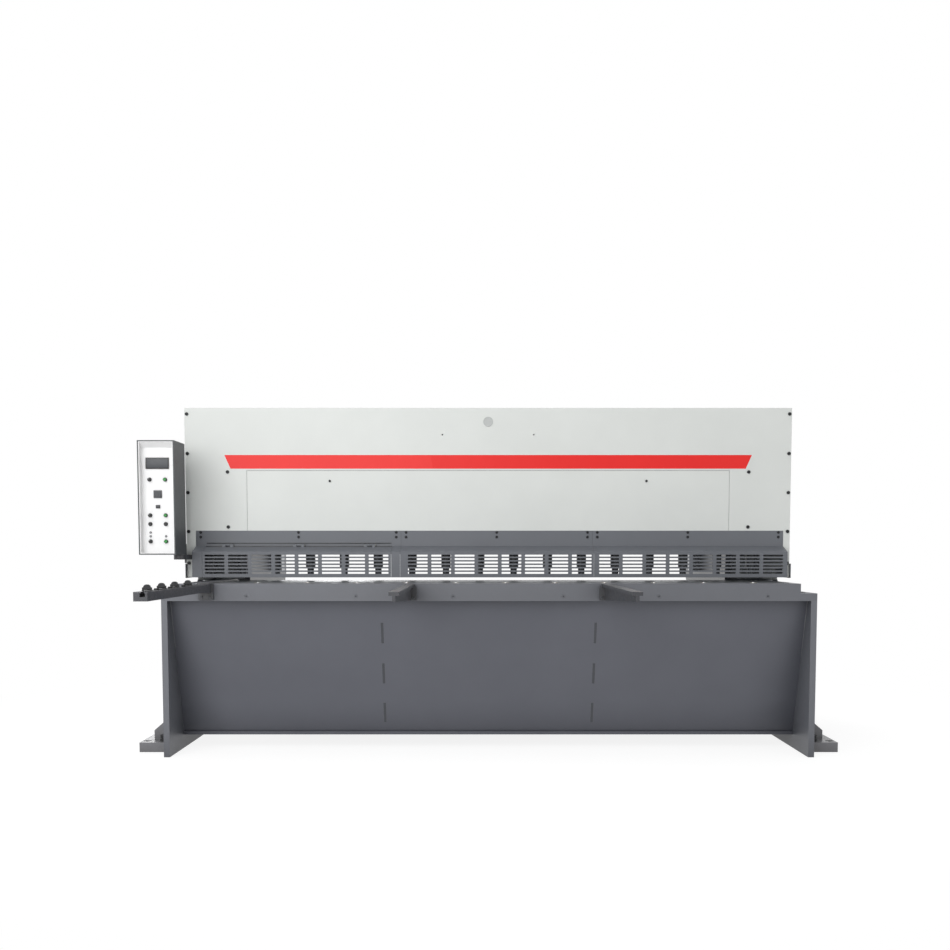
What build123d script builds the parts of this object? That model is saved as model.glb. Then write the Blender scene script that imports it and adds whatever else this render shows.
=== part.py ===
from build123d import *
import math
import os

# A hydraulic guillotine shear for sheet metal, as an assembly of separate pieces.
# Row frame: +X to the operator's right, +Y to the back, +Z up, in millimetres.
# The origin is on the floor, at the centre of the four anchor holes.
# Front-to-back places are distances behind the front edge of the side frames,
# and back() turns such a distance into Y.

os.makedirs("parts", exist_ok=True)

# Driving sizes of the machine
frame_width = 3250.0  # over the two side frames
frame_depth = 1750.0  # a side frame, front edge to rear edge
frame_plate = 30.0  # thickness of a side frame
frame_height = 1789.0  # top of the side frames
table_height = 868.0  # the surface that the sheet slides on
sheet_metal = 3.0  # covers and guards
running_gap = 0.3  # between pieces that move past each other
bearing_gap = 0.1  # on the radius of pins and journals

# Widths worked out from them
half_width = frame_width / 2
inner_half = half_width - frame_plate
anchor_mid = frame_depth / 2


def back(distance):
    return distance - anchor_mid


def block(x_low, x_high, front, rear, z_low, z_high, mode=Mode.ADD):
    # A rectangular bar between two corners.
    middle = ((x_low + x_high) / 2, back((front + rear) / 2), (z_low + z_high) / 2)
    with Locations(middle):
        Box(x_high - x_low, rear - front, z_high - z_low, mode=mode)


def round_bar(x, distance, z, radius, length, along, mode=Mode.ADD):
    # A round bar, or a bore where it is subtracted, centred on a point.
    turns = {"X": (0, 90, 0), "Y": (90, 0, 0), "Z": (0, 0, 0)}
    with Locations((x, back(distance), z)):
        Cylinder(radius, length, rotation=turns[along], mode=mode)


def side_plate(outline, x_low, x_high, mode=Mode.ADD):
    # A plate with an outline of (distance, height) points, between two X planes.
    with BuildSketch(Plane.YZ.offset(x_low)) as profile:
        with BuildLine():
            Polyline([(back(distance), z) for distance, z in outline], close=True)
        make_face()
    extrude(profile.sketch, amount=x_high - x_low, mode=mode)


def front_plate(outline, front, rear, mode=Mode.ADD):
    # A plate with an outline of (x, height) points, between two distances.
    with BuildSketch(Plane.XZ.offset(-back(rear))) as profile:
        with BuildLine():
            Polyline(outline, close=True)
        make_face()
    extrude(profile.sketch, amount=rear - front, mode=mode)


def spread(first, last, pitch):
    # Places along X from first to last, a pitch apart.
    count = int((last - first) / pitch) + 1
    return [first + pitch * index for index in range(count)]


# Side frames: C-shaped plates with a throat that lets a long sheet pass beside them
bar_depth = 55.0  # front bar of the table
bar_low = table_height - 86.0
shoulder_z = table_height - 48.0  # top of the frame beside the table
post_front = 491.0  # front edge of the frame above the table
throat_low = table_height - 12.0
throat_high = table_height + 72.0
throat_end = 720.0
top_rear = 1180.0
waist_rear = 1380.0
waist_high = frame_height - 290.0
waist_low = table_height - 168.0
heel_high = 420.0
lift_radius = 30.0
lift_distance = 1040.0
lift_z = frame_height - 75.0
frame_outline = [
    (0, 0),
    (0, bar_low),
    (bar_depth, bar_low),
    (bar_depth, shoulder_z),
    (post_front, shoulder_z),
    (post_front, frame_height),
    (top_rear, frame_height),
    (waist_rear, waist_high),
    (waist_rear, waist_low),
    (frame_depth, heel_high),
    (frame_depth, 0),
]
throat_radius = (throat_high - throat_low) / 2
throat_mid = (throat_high + throat_low) / 2


def side_frame(x_low, x_high):
    side_plate(frame_outline, x_low, x_high)
    x_mid = (x_low + x_high) / 2
    through = (x_high - x_low) * 2
    block(
        x_low - 1, x_high + 1, post_front - 1, throat_end - throat_radius,
        throat_low, throat_high, Mode.SUBTRACT,
    )
    throat_centre = throat_end - throat_radius
    round_bar(x_mid, throat_centre, throat_mid, throat_radius, through, "X", Mode.SUBTRACT)
    round_bar(x_mid, lift_distance, lift_z, lift_radius, through, "X", Mode.SUBTRACT)


with BuildPart() as side_frame_left:
    side_frame(-half_width, -inner_half)
side_frame_left.part.label = "side_frame_left"
export_step(side_frame_left.part, "parts/side_frame_left.step")

with BuildPart() as side_frame_right:
    side_frame(inner_half, half_width)
side_frame_right.part.label = "side_frame_right"
export_step(side_frame_right.part, "parts/side_frame_right.step")

# Floor feet: a thick block with a gusset, outside each frame at the front and the rear
foot_reach = 165.0
foot_front = 138.0
foot_length = 240.0
foot_height = 50.0
anchor_radius = 11.0
anchor_inset = 28.0  # anchor hole to the outer end of the foot
anchor_front = 185.0
spot_radius = 21.0
spot_depth = 2.0
leveller_radius = 11.8  # the levelling screw
leveller_inset = 55.0  # screw axis to the side frame
leveller_front = 180.0
gusset_front = 235.0
gusset_plate = 20.0
gusset_high = 197.0
gusset_low = 97.0
gusset_reach = 116.0
anchor_x = half_width + foot_reach - anchor_inset
foot_ends = [(side, end) for side in (-1, 1) for end in (0, 1)]


def from_end(distance, end):
    # The same distance counted from the front edge (0) or the rear edge (1).
    return distance if end == 0 else frame_depth - distance


def block_at_end(x_near, x_far, near, far, z_low, z_high, side, end, mode=Mode.ADD):
    # A block on one side of the machine (-1 or 1), at its front (0) or rear (1).
    xs = sorted((side * x_near, side * x_far))
    ys = sorted((from_end(near, end), from_end(far, end)))
    block(xs[0], xs[1], ys[0], ys[1], z_low, z_high, mode)


with BuildPart() as floor_feet:
    for side, end in foot_ends:
        foot_rear = foot_front + foot_length
        block_at_end(
            half_width, half_width + foot_reach, foot_front, foot_rear, 0, foot_height, side, end
        )
        gusset_outline = [
            (side * half_width, foot_height),
            (side * (half_width + gusset_reach), foot_height),
            (side * (half_width + gusset_reach), gusset_low),
            (side * half_width, gusset_high),
        ]
        gusset = sorted(
            (from_end(gusset_front, end), from_end(gusset_front + gusset_plate, end))
        )
        front_plate(gusset_outline, gusset[0], gusset[1])
        anchor_y = from_end(anchor_front, end)
        round_bar(
            side * anchor_x, anchor_y, foot_height / 2, anchor_radius, foot_height * 2, "Z",
            Mode.SUBTRACT,
        )
        round_bar(
            side * anchor_x, anchor_y, foot_height, spot_radius, spot_depth * 2, "Z",
            Mode.SUBTRACT,
        )
        round_bar(
            side * (half_width + leveller_inset), from_end(leveller_front, end),
            foot_height / 2, leveller_radius + bearing_gap, foot_height * 2, "Z", Mode.SUBTRACT,
        )
floor_feet.part.label = "floor_feet"
export_step(floor_feet.part, "parts/floor_feet.step")

# Front bar of the table, across both side frames
table_half = half_width - 82.0  # the table plate and the upper half of the bar
bar_screw_places = [
    -half_width + inset for inset in (423.0, 965.0, 1447.0, 1993.0, 2467.0, 3005.0)
    if inset < frame_width - 150.0
]
bar_screw_z = table_height - 63.0
bar_screw_radius = 6.0
bar_head_radius = 9.0
bar_head_depth = 12.0
arm_bolt_radius = 5.0
arm_bolt_head = 8.0
arm_bolt_reach = 36.0
hex_height = 6.4
arm_bolt_half = 20.0  # half the distance between an arm's two bolts
arm_bolt_z = table_height - 66.0
squaring_arm_mid = -half_width + 224.5
support_places = [-half_width + inset for inset in (1232.5, 2204.0)]
arm_bolt_places = [
    x + offset for x in [squaring_arm_mid] + support_places
    for offset in (-arm_bolt_half, arm_bolt_half)
]
with BuildPart() as table_front_bar:
    block(-half_width, half_width, 0, bar_depth, bar_low, shoulder_z)
    block(-table_half, table_half, 0, bar_depth, shoulder_z, table_height)
    for x in arm_bolt_places:
        round_bar(
            x, 0, arm_bolt_z, arm_bolt_radius + bearing_gap, arm_bolt_reach * 2 + 1, "Y",
            Mode.SUBTRACT,
        )
    for x in bar_screw_places:
        round_bar(
            x, bar_depth / 2, bar_screw_z, bar_screw_radius + bearing_gap, bar_depth * 2, "Y",
            Mode.SUBTRACT,
        )
        round_bar(
            x, 0, bar_screw_z, bar_head_radius + running_gap, bar_head_depth * 2, "Y",
            Mode.SUBTRACT,
        )
table_front_bar.part.label = "table_front_bar"
export_step(table_front_bar.part, "parts/table_front_bar.step")

# Ball transfers in the table plate
ball_radius = 12.5
ball_rise = 4.0
ball_pitch = 251.7
ball_first = 451.0  # from the outside of the left side frame
ball_distance = 148.0
cup_radius = 19.0
cup_depth = 24.0
ball_places = spread(-half_width + ball_first, half_width - 220.0, ball_pitch)
ball_z = table_height + ball_rise - ball_radius

# Table plate
table_plate = 30.0
blade_seat = 628.0  # rear edge of the table plate, where the lower blade stands
with BuildPart() as table_top:
    block(
        -table_half, table_half, bar_depth, blade_seat, table_height - table_plate, table_height
    )
    for x in ball_places:
        round_bar(
            x, ball_distance, table_height, cup_radius, cup_depth * 2, "Z", Mode.SUBTRACT
        )
table_top.part.label = "table_top"
export_step(table_top.part, "parts/table_top.step")

with BuildPart() as ball_transfers:
    for x in ball_places:
        round_bar(
            x, ball_distance, table_height - cup_depth / 2 - 0.5, cup_radius, cup_depth - 1, "Z"
        )
        with Locations((x, back(ball_distance), ball_z)):
            Sphere(ball_radius + bearing_gap, mode=Mode.SUBTRACT)
    for x in ball_places:
        with Locations((x, back(ball_distance), ball_z)):
            Sphere(ball_radius)
ball_transfers.part.label = "ball_transfers"
export_step(ball_transfers.part, "parts/ball_transfers.step")

# Sloped front apron with a bottom flange, and slots that show the ends of the ribs
apron_plate = 15.0
apron_low = 70.0
flange_plate = 16.0
apron_foot = 272.0  # front face of the apron at its bottom
flange_rear = 420.0
flange_top = apron_low + flange_plate
apron_face = [(bar_depth, bar_low), (apron_foot, flange_top)]
rib_inset = 1086.0  # rib to the outside of the nearer side frame
rib_plate = 15.0
rib_places = [-half_width + rib_inset, half_width - rib_inset]
tab_height = 110.0
tab_spacing = (bar_low - flange_top) / 3 - 19.0
tab_count = 3
tab_mid = (bar_low + flange_top) / 2 - 32.0
tab_places = [tab_mid + tab_spacing * (index - 1) for index in range(tab_count)]


def apron_distance(z):
    # Distance of the apron's front face at a height.
    (top_distance, top_z), (low_distance, low_z) = apron_face
    return top_distance + (top_z - z) / (top_z - low_z) * (low_distance - top_distance)


plate_top = table_height - table_plate
with BuildPart() as front_apron:
    side_plate(
        [
            (bar_depth, shoulder_z),
            (bar_depth, bar_low),
            (apron_foot, flange_top),
            (apron_foot - 10, flange_top),
            (apron_foot - 10, apron_low),
            (flange_rear, apron_low),
            (flange_rear, flange_top),
            (apron_foot + apron_plate, flange_top),
            (bar_depth + apron_plate, bar_low),
            (bar_depth + apron_plate, shoulder_z),
        ],
        -inner_half,
        inner_half,
    )
    for x in rib_places:
        for z in tab_places:
            block(
                x - rib_plate / 2, x + rib_plate / 2, bar_depth, apron_foot + apron_plate,
                z - tab_height / 2, z + tab_height / 2, Mode.SUBTRACT,
            )
front_apron.part.label = "front_apron"
export_step(front_apron.part, "parts/front_apron.step")

# Bed beam behind the apron, with a step for the lower blade
bed_front = 590.0
shear_plane = 650.0  # rear face of the lower blade, where the sheet is cut
blade_height = 80.0
blade_gap = 0.2
blade_thickness = shear_plane - blade_seat
blade_low = table_height - blade_height
bed_low = 150.0
with BuildPart() as bed_beam:
    side_plate(
        [
            (bed_front, bed_low),
            (shear_plane, bed_low),
            (shear_plane, blade_low),
            (blade_seat, blade_low),
            (blade_seat, plate_top),
            (bed_front, plate_top),
        ],
        -inner_half,
        inner_half,
    )
bed_beam.part.label = "bed_beam"
export_step(bed_beam.part, "parts/bed_beam.step")

# Ribs between the apron and the bed beam, with tabs in the apron's slots
with BuildPart() as table_ribs:
    for x in rib_places:
        side_plate(
            [
                (bar_depth + apron_plate, plate_top),
                (bar_depth + apron_plate, bar_low),
                (apron_foot + apron_plate, flange_top),
                (flange_rear, flange_top),
                (bed_front, bed_low),
                (bed_front, plate_top),
            ],
            x - rib_plate / 2,
            x + rib_plate / 2,
        )
        for z in tab_places:
            low, high = z - tab_height / 2, z + tab_height / 2
            side_plate(
                [
                    (apron_distance(high), high),
                    (apron_distance(low), low),
                    (apron_distance(low) + apron_plate, low),
                    (apron_distance(high) + apron_plate, high),
                ],
                x - rib_plate / 2,
                x + rib_plate / 2,
            )
table_ribs.part.label = "table_ribs"
export_step(table_ribs.part, "parts/table_ribs.step")

# Blades: each is two equal lengths end to end, held by a row of bolts
blade_half = half_width - 50.0
blade_bolt_radius = 6.0
blade_head_radius = 10.0
blade_head_depth = 8.0
blade_bolt_pitch = 195.0
blade_bolt_first = 105.0
blade_bolts = spread(blade_bolt_first, blade_half - 40.0, blade_bolt_pitch)
blade_bolt_places = [side * x for x in blade_bolts for side in (-1, 1)]
lower_bolt_z = blade_low + blade_height / 2
with BuildPart() as lower_blade:
    for x_low, x_high in ((-blade_half, 0), (0, blade_half)):
        with BuildSketch(Plane.XZ.offset(-back(shear_plane))):
            with Locations(((x_low + x_high) / 2, lower_bolt_z)):
                Rectangle(x_high - x_low, blade_height)
        extrude(amount=blade_thickness)
    for x in blade_bolt_places:
        round_bar(
            x, shear_plane, lower_bolt_z, blade_bolt_radius + bearing_gap,
            blade_thickness * 4, "Y", Mode.SUBTRACT,
        )
        round_bar(
            x, shear_plane, lower_bolt_z, blade_head_radius + running_gap,
            blade_head_depth * 2, "Y", Mode.SUBTRACT,
        )
lower_blade.part.label = "lower_blade"
export_step(lower_blade.part, "parts/lower_blade.step")

# Blade beam: a raked plate with stiffeners, and lugs that the piston rods push on
blade_rake = 0.9  # degrees
blade_daylight = 138.0  # lower end of the raised blade above the table
blade_shown = 10.0  # blade edge below the beam's lower edge
ram_plate = 60.0
ram_end_gap = 7.0
ram_top = frame_height - 149.0
ram_front = shear_plane + blade_gap + blade_thickness
ram_rear = ram_front + ram_plate
ram_half = inner_half - ram_end_gap
ram_stroke = 193.0
lug_inset = 125.0  # main cylinder axis to the inside of the side frame
lug_width = 130.0
lug_low = table_height + 272.0
lug_high = table_height + 322.0
lug_rear = 900.0
cylinder_distance = 830.0
rib_rows = (table_height + 372.0, ram_top - 140.0)
rib_depth = 80.0
rib_height = 40.0
rake = math.tan(math.radians(blade_rake))
cylinder_x = inner_half - lug_inset


def blade_edge(x):
    # Height of the raised upper blade's cutting edge, lowest at its left end.
    return table_height + blade_daylight + (x + blade_half) * rake


with BuildPart() as blade_beam:
    front_plate(
        [
            (-ram_half, blade_edge(-ram_half) + blade_shown),
            (ram_half, blade_edge(ram_half) + blade_shown),
            (ram_half, ram_top),
            (-ram_half, ram_top),
        ],
        ram_front,
        ram_rear,
    )
    for z in rib_rows:
        block(-ram_half + 260, ram_half - 260, ram_rear, ram_rear + rib_depth, z, z + rib_height)
    for side in (-1, 1):
        x_low, x_high = side * cylinder_x - lug_width / 2, side * cylinder_x + lug_width / 2
        block(x_low, x_high, ram_rear, lug_rear, lug_low, lug_high)
    for x in blade_bolt_places:
        round_bar(
            x, ram_front, blade_edge(x) + blade_height / 2, blade_bolt_radius + bearing_gap,
            60, "Y", Mode.SUBTRACT,
        )
blade_beam.part.label = "blade_beam"
export_step(blade_beam.part, "parts/blade_beam.step")

with BuildPart() as upper_blade:
    for x_low, x_high in ((-blade_half, 0), (0, blade_half)):
        front_plate(
            [
                (x_low, blade_edge(x_low)),
                (x_high, blade_edge(x_high)),
                (x_high, blade_edge(x_high) + blade_height),
                (x_low, blade_edge(x_low) + blade_height),
            ],
            shear_plane + blade_gap,
            ram_front,
        )
    for x in blade_bolt_places:
        z = blade_edge(x) + blade_height / 2
        round_bar(
            x, ram_front, z, blade_bolt_radius + bearing_gap, blade_thickness * 4, "Y",
            Mode.SUBTRACT,
        )
        round_bar(
            x, shear_plane + blade_gap, z, blade_head_radius + running_gap,
            blade_head_depth * 2, "Y", Mode.SUBTRACT,
        )
upper_blade.part.label = "upper_blade"
export_step(upper_blade.part, "parts/upper_blade.step")

bolt_shank = 40.0
with BuildPart() as blade_bolts_upper:
    for x in blade_bolt_places:
        z = blade_edge(x) + blade_height / 2
        head_front = shear_plane + blade_gap + 1
        round_bar(
            x, head_front + blade_head_depth / 2 - 0.5, z, blade_head_radius,
            blade_head_depth - 1, "Y",
        )
        round_bar(x, head_front + bolt_shank / 2, z, blade_bolt_radius, bolt_shank, "Y")
blade_bolts_upper.part.label = "blade_bolts_upper"
export_step(blade_bolts_upper.part, "parts/blade_bolts_upper.step")

# Upper crossbeam: a box beam between the frames that carries the main cylinders
cross_front = 500.0
cross_rear = 920.0
cross_low = frame_height - 129.0
cross_high = frame_height - 4.0
cross_wall = 15.0
with BuildPart() as upper_crossbeam:
    block(-inner_half, inner_half, cross_front, cross_rear, cross_low, cross_high)
    block(
        -inner_half - 1, inner_half + 1, cross_front + cross_wall, cross_rear - cross_wall,
        cross_low + cross_wall, cross_high - cross_wall, Mode.SUBTRACT,
    )
upper_crossbeam.part.label = "upper_crossbeam"
export_step(upper_crossbeam.part, "parts/upper_crossbeam.step")

# Main cylinders, hung under the crossbeam, and the piston rods on the blade beam
barrel_radius = 75.0
bore_radius = 55.0
rod_radius = 40.0
piston_height = 40.0
gland_height = 50.0
cap_height = 20.0
rod_shown = 90.0  # rod between the lug and the raised gland
barrel_low = lug_high + rod_shown
rod_top = cross_low - cap_height - 20.0
port_inset = 40.0
with BuildPart() as main_cylinders:
    for side in (-1, 1):
        x = side * cylinder_x
        length = cross_low - barrel_low
        round_bar(x, cylinder_distance, barrel_low + length / 2, barrel_radius, length, "Z")
        bore_low, bore_high = barrel_low + gland_height, cross_low - cap_height
        round_bar(
            x, cylinder_distance, (bore_low + bore_high) / 2, bore_radius,
            bore_high - bore_low, "Z", Mode.SUBTRACT,
        )
        round_bar(
            x, cylinder_distance, barrel_low + gland_height / 2, rod_radius + running_gap,
            gland_height * 1.2, "Z", Mode.SUBTRACT,
        )
main_cylinders.part.label = "main_cylinders"
export_step(main_cylinders.part, "parts/main_cylinders.step")

with BuildPart() as piston_rods:
    for side in (-1, 1):
        x = side * cylinder_x
        length = rod_top - lug_high
        round_bar(x, cylinder_distance, lug_high + length / 2, rod_radius, length, "Z")
        round_bar(
            x, cylinder_distance, rod_top - piston_height / 2, bore_radius - running_gap,
            piston_height, "Z",
        )
piston_rods.part.label = "piston_rods"
export_step(piston_rods.part, "parts/piston_rods.step")

# Ram guides: gib bars in front of and behind each end of the blade beam
gib_low = table_height + 352.0
gib_width = 55.0
gib_front_depth = 30.0
gib_rear_depth = 38.0
with BuildPart() as ram_gibs:
    for side in (-1, 1):
        xs = sorted((side * inner_half, side * (inner_half - gib_width)))
        block(
            xs[0], xs[1], ram_front - running_gap - gib_front_depth, ram_front - running_gap,
            gib_low, ram_top,
        )
        block(
            xs[0], xs[1], ram_rear + running_gap, ram_rear + running_gap + gib_rear_depth,
            gib_low, ram_top,
        )
ram_gibs.part.label = "ram_gibs"
export_step(ram_gibs.part, "parts/ram_gibs.step")

# Hold-down beam with its row of cylinders and sprung feet
hold_beam_rear = 640.0
hold_beam_low = table_height + 144.0
hold_beam_high = table_height + 322.0
hold_beam_wall = 12.0
hold_pitch = 186.0
hold_offset = -44.0  # the middle foot is left of the machine's middle
hold_distance = 600.0
hold_barrel_radius = 26.0
hold_barrel_low = table_height + 72.0
hold_rod_radius = 18.0
hold_pad_radius = 25.0
hold_pad_height = 12.0
hold_travel = 20.0
hold_reach = int((inner_half - 75.0) / hold_pitch)
hold_places = [hold_offset + hold_pitch * index for index in range(-hold_reach, hold_reach + 1)]
with BuildPart() as hold_down_beam:
    block(-inner_half, inner_half, post_front, hold_beam_rear, hold_beam_low, hold_beam_high)
    block(
        -inner_half - 1, inner_half + 1, post_front + hold_beam_wall,
        hold_beam_rear - hold_beam_wall, hold_beam_low + hold_beam_wall,
        hold_beam_high - hold_beam_wall, Mode.SUBTRACT,
    )
    for x in hold_places:
        round_bar(
            x, hold_distance, (hold_beam_low + hold_beam_high) / 2, hold_barrel_radius,
            (hold_beam_high - hold_beam_low) * 1.5, "Z", Mode.SUBTRACT,
        )
hold_down_beam.part.label = "hold_down_beam"
export_step(hold_down_beam.part, "parts/hold_down_beam.step")

hold_cap_height = 20.0
hold_barrel_high = hold_beam_high + hold_cap_height
with BuildPart() as hold_down_cylinders:
    for x in hold_places:
        length = hold_barrel_high - hold_barrel_low
        round_bar(
            x, hold_distance, hold_barrel_low + length / 2, hold_barrel_radius, length, "Z"
        )
        round_bar(
            x, hold_distance, hold_barrel_low + length / 2 - hold_cap_height,
            hold_rod_radius + running_gap, length, "Z", Mode.SUBTRACT,
        )
hold_down_cylinders.part.label = "hold_down_cylinders"
export_step(hold_down_cylinders.part, "parts/hold_down_cylinders.step")

hold_rod_high = hold_barrel_high - hold_cap_height - 30.0
with BuildPart() as hold_down_feet:
    for x in hold_places:
        pad_low = table_height + hold_travel
        round_bar(
            x, hold_distance, pad_low + hold_pad_height / 2, hold_pad_radius,
            hold_pad_height, "Z",
        )
        length = hold_rod_high - pad_low
        round_bar(x, hold_distance, pad_low + length / 2, hold_rod_radius, length, "Z")
hold_down_feet.part.label = "hold_down_feet"
export_step(hold_down_feet.part, "parts/hold_down_feet.step")

# Front cover: one sheet over the frames, with legs beside the guards
cover_front = post_front - sheet_metal
cover_low = table_height + 270.0
cover_top_return = 60.0
leg_low = table_height + 22.0
leg_left = 51.0
leg_right = 35.0
panel_half = half_width - 329.0
panel_high = cover_low + 322.0
panel_gap = 1.5
cover_screw_inset = 13.0
cover_screw_rises = (892.0, 682.0, 474.0, 266.0, 96.0)  # above the table
corner_screw_inset = 227.0
corner_screw_rises = (584.0, 290.0)
panel_screw_inset = 775.0
panel_screw_rise = 536.0
plug_radius = 22.5
plug_rise = 851.0
hole_radius = 4.0
small_hole_x = 245.0
small_hole_rise = 782.0
cover_screws_at = [
    (side * (half_width - cover_screw_inset), table_height + rise)
    for side in (-1, 1) for rise in cover_screw_rises if table_height + rise < frame_height
]
corner_screws_at = [
    (side * (half_width - corner_screw_inset), table_height + rise)
    for side in (-1, 1) for rise in corner_screw_rises
]
panel_screws_at = [
    (side * (half_width - panel_screw_inset), table_height + panel_screw_rise)
    for side in (-1, 1)
]
with BuildPart() as front_cover:
    block(
        -half_width, half_width, cover_front, post_front, cover_low,
        frame_height + sheet_metal,
    )
    block(
        -half_width, half_width, post_front, cover_front + cover_top_return, frame_height,
        frame_height + sheet_metal,
    )
    block(-half_width, -half_width + leg_left, cover_front, post_front, leg_low, cover_low)
    block(half_width - leg_right, half_width, cover_front, post_front, leg_low, cover_low)
    block(
        -panel_half, panel_half, cover_front - 1, post_front + 1, cover_low - 1, panel_high,
        Mode.SUBTRACT,
    )
    round_bar(
        0, post_front, table_height + plug_rise, plug_radius, sheet_metal * 4, "Y",
        Mode.SUBTRACT,
    )
    for side in (-1, 1):
        round_bar(
            side * small_hole_x, post_front, table_height + small_hole_rise, hole_radius,
            sheet_metal * 4, "Y", Mode.SUBTRACT,
        )
    for x, z in cover_screws_at + corner_screws_at:
        round_bar(
            x, post_front, z, hole_radius + running_gap, sheet_metal * 4, "Y", Mode.SUBTRACT
        )
front_cover.part.label = "front_cover"
export_step(front_cover.part, "parts/front_cover.step")

with BuildPart() as access_panel:
    block(
        -panel_half + panel_gap, panel_half - panel_gap, cover_front, post_front, cover_low,
        panel_high - panel_gap,
    )
    for x, z in panel_screws_at:
        round_bar(
            x, post_front, z, hole_radius + running_gap, sheet_metal * 4, "Y", Mode.SUBTRACT
        )
access_panel.part.label = "access_panel"
export_step(access_panel.part, "parts/access_panel.step")

screw_head_radius = 9.0
small_head_radius = 6.0
screw_head_height = 6.0
plug_head = 26.0
plug_lip = 3.0
with BuildPart() as cover_screws:
    for x, z in cover_screws_at + corner_screws_at + panel_screws_at:
        head = small_head_radius if (x, z) in panel_screws_at else screw_head_radius
        round_bar(x, cover_front - screw_head_height / 2, z, head, screw_head_height, "Y")
        fillet(
            edges().filter_by(GeomType.CIRCLE).filter_by_position(
                Axis.Y, back(cover_front - screw_head_height) - 0.1,
                back(cover_front - screw_head_height) + 0.1,
            ).sort_by_distance((x, back(cover_front - screw_head_height), z))[0],
            screw_head_height / 3,
        )
        round_bar(x, cover_front + sheet_metal / 2, z, hole_radius, sheet_metal, "Y")
    plug_z = table_height + plug_rise
    round_bar(0, cover_front - plug_lip / 2, plug_z, plug_head, plug_lip, "Y")
    round_bar(0, cover_front + sheet_metal / 2, plug_z, plug_radius - running_gap, sheet_metal, "Y")
cover_screws.part.label = "cover_screws"
export_step(cover_screws.part, "parts/cover_screws.step")

# Finger guards in three sections: a flange, a sloping shoulder and a slotted grille
guard_front = 397.0
guard_low = table_height + 21.0
guard_knee = table_height + 157.0
guard_bend = table_height + 188.0
guard_lip = 18.0
guard_end_gap = 1.0
guard_left = -half_width + leg_left + guard_end_gap
guard_right = half_width - leg_right - guard_end_gap
right_section = 1027.0
centre_section = 1029.0
section_joint = 0.8
slot_width = 105.0
slot_height = 10.0
slot_corner = 3.0
slot_pitch = 124.4
slot_rows = 6
slot_row_pitch = 18.3
slot_first_z = table_height + 45.0
right_low = guard_right - right_section
centre_high = right_low - section_joint
centre_low = centre_high - centre_section
left_high = centre_low - section_joint
sheet_drop = 2.1  # the shoulder's inner face below its outer face
guard_screw_heights = [table_height + rise for rise in (261.0, 236.0)]
guard_screw_radius = 4.0
guard_head_radius = 7.0
guard_head_height = 4.0
bolt_inset = 26.0
shoulder_slope = (guard_bend - guard_knee) / (cover_front - guard_front)


def guard_outline(flange_low):
    # The bent sheet from the flange's top to the lip under the grille.
    inner = guard_front + sheet_metal
    return [
        (cover_front, cover_low),
        (cover_front, flange_low),
        (guard_front, guard_knee),
        (guard_front, guard_low),
        (guard_front + guard_lip, guard_low),
        (guard_front + guard_lip, guard_low + sheet_metal),
        (inner, guard_low + sheet_metal),
        (inner, guard_knee - sheet_drop),
        (post_front, flange_low - sheet_drop),
        (post_front, cover_low),
    ]


def cut_slots(x_low, x_high, first_inset):
    # Groups of short horizontal slots, as many as the section has room for.
    groups = int((x_high - x_low - first_inset - slot_width) / slot_pitch) + 1
    first_x = x_low + first_inset + slot_width / 2
    mid_x = first_x + slot_pitch * (groups - 1) / 2
    mid_z = slot_first_z + slot_row_pitch * (slot_rows - 1) / 2
    with BuildSketch(Plane.XZ.offset(-back(guard_front + 2 * sheet_metal))) as slots:
        with Locations((mid_x, mid_z)):
            with GridLocations(slot_pitch, slot_row_pitch, groups, slot_rows):
                RectangleRounded(slot_width, slot_height, slot_corner)
    extrude(slots.sketch, amount=3 * sheet_metal, mode=Mode.SUBTRACT)


def bolt_row(x_low, x_high):
    return [x_low + bolt_inset, (x_low + x_high) / 2, x_high - bolt_inset]


def cut_guard_holes(x_low, x_high):
    # Two screw holes, one above the other, at each end and in the middle of a section.
    places = [(x, z) for x in bolt_row(x_low, x_high) for z in guard_screw_heights]
    with BuildSketch(Plane.XZ.offset(-back(post_front + 1))) as holes:
        with Locations(*places):
            Circle(guard_screw_radius + running_gap)
    extrude(holes.sketch, amount=sheet_metal + 2, mode=Mode.SUBTRACT)


throat_plate = 4.0
throat_plate_front = 470.0
throat_plate_overlap = 50.0  # beyond the end of the throat
throat_plate_low = table_height + 16.0
throat_plate_high = table_height + 93.0
guard_sections = [(centre_low, centre_high, 41.0), (right_low, guard_right, 27.5)]
with BuildPart() as fixed_guards:
    for x_low, x_high, first_inset in guard_sections:
        side_plate(guard_outline(guard_bend), x_low, x_high)
        cut_slots(x_low, x_high, first_inset)
        cut_guard_holes(x_low, x_high)
    for side in (-1, 1):
        xs = sorted((side * half_width, side * (half_width + throat_plate)))
        block(
            xs[0], xs[1], throat_plate_front, throat_end + throat_plate_overlap, throat_plate_low,
            throat_plate_high,
        )
fixed_guards.part.label = "fixed_guards"
export_step(fixed_guards.part, "parts/fixed_guards.step")

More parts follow.
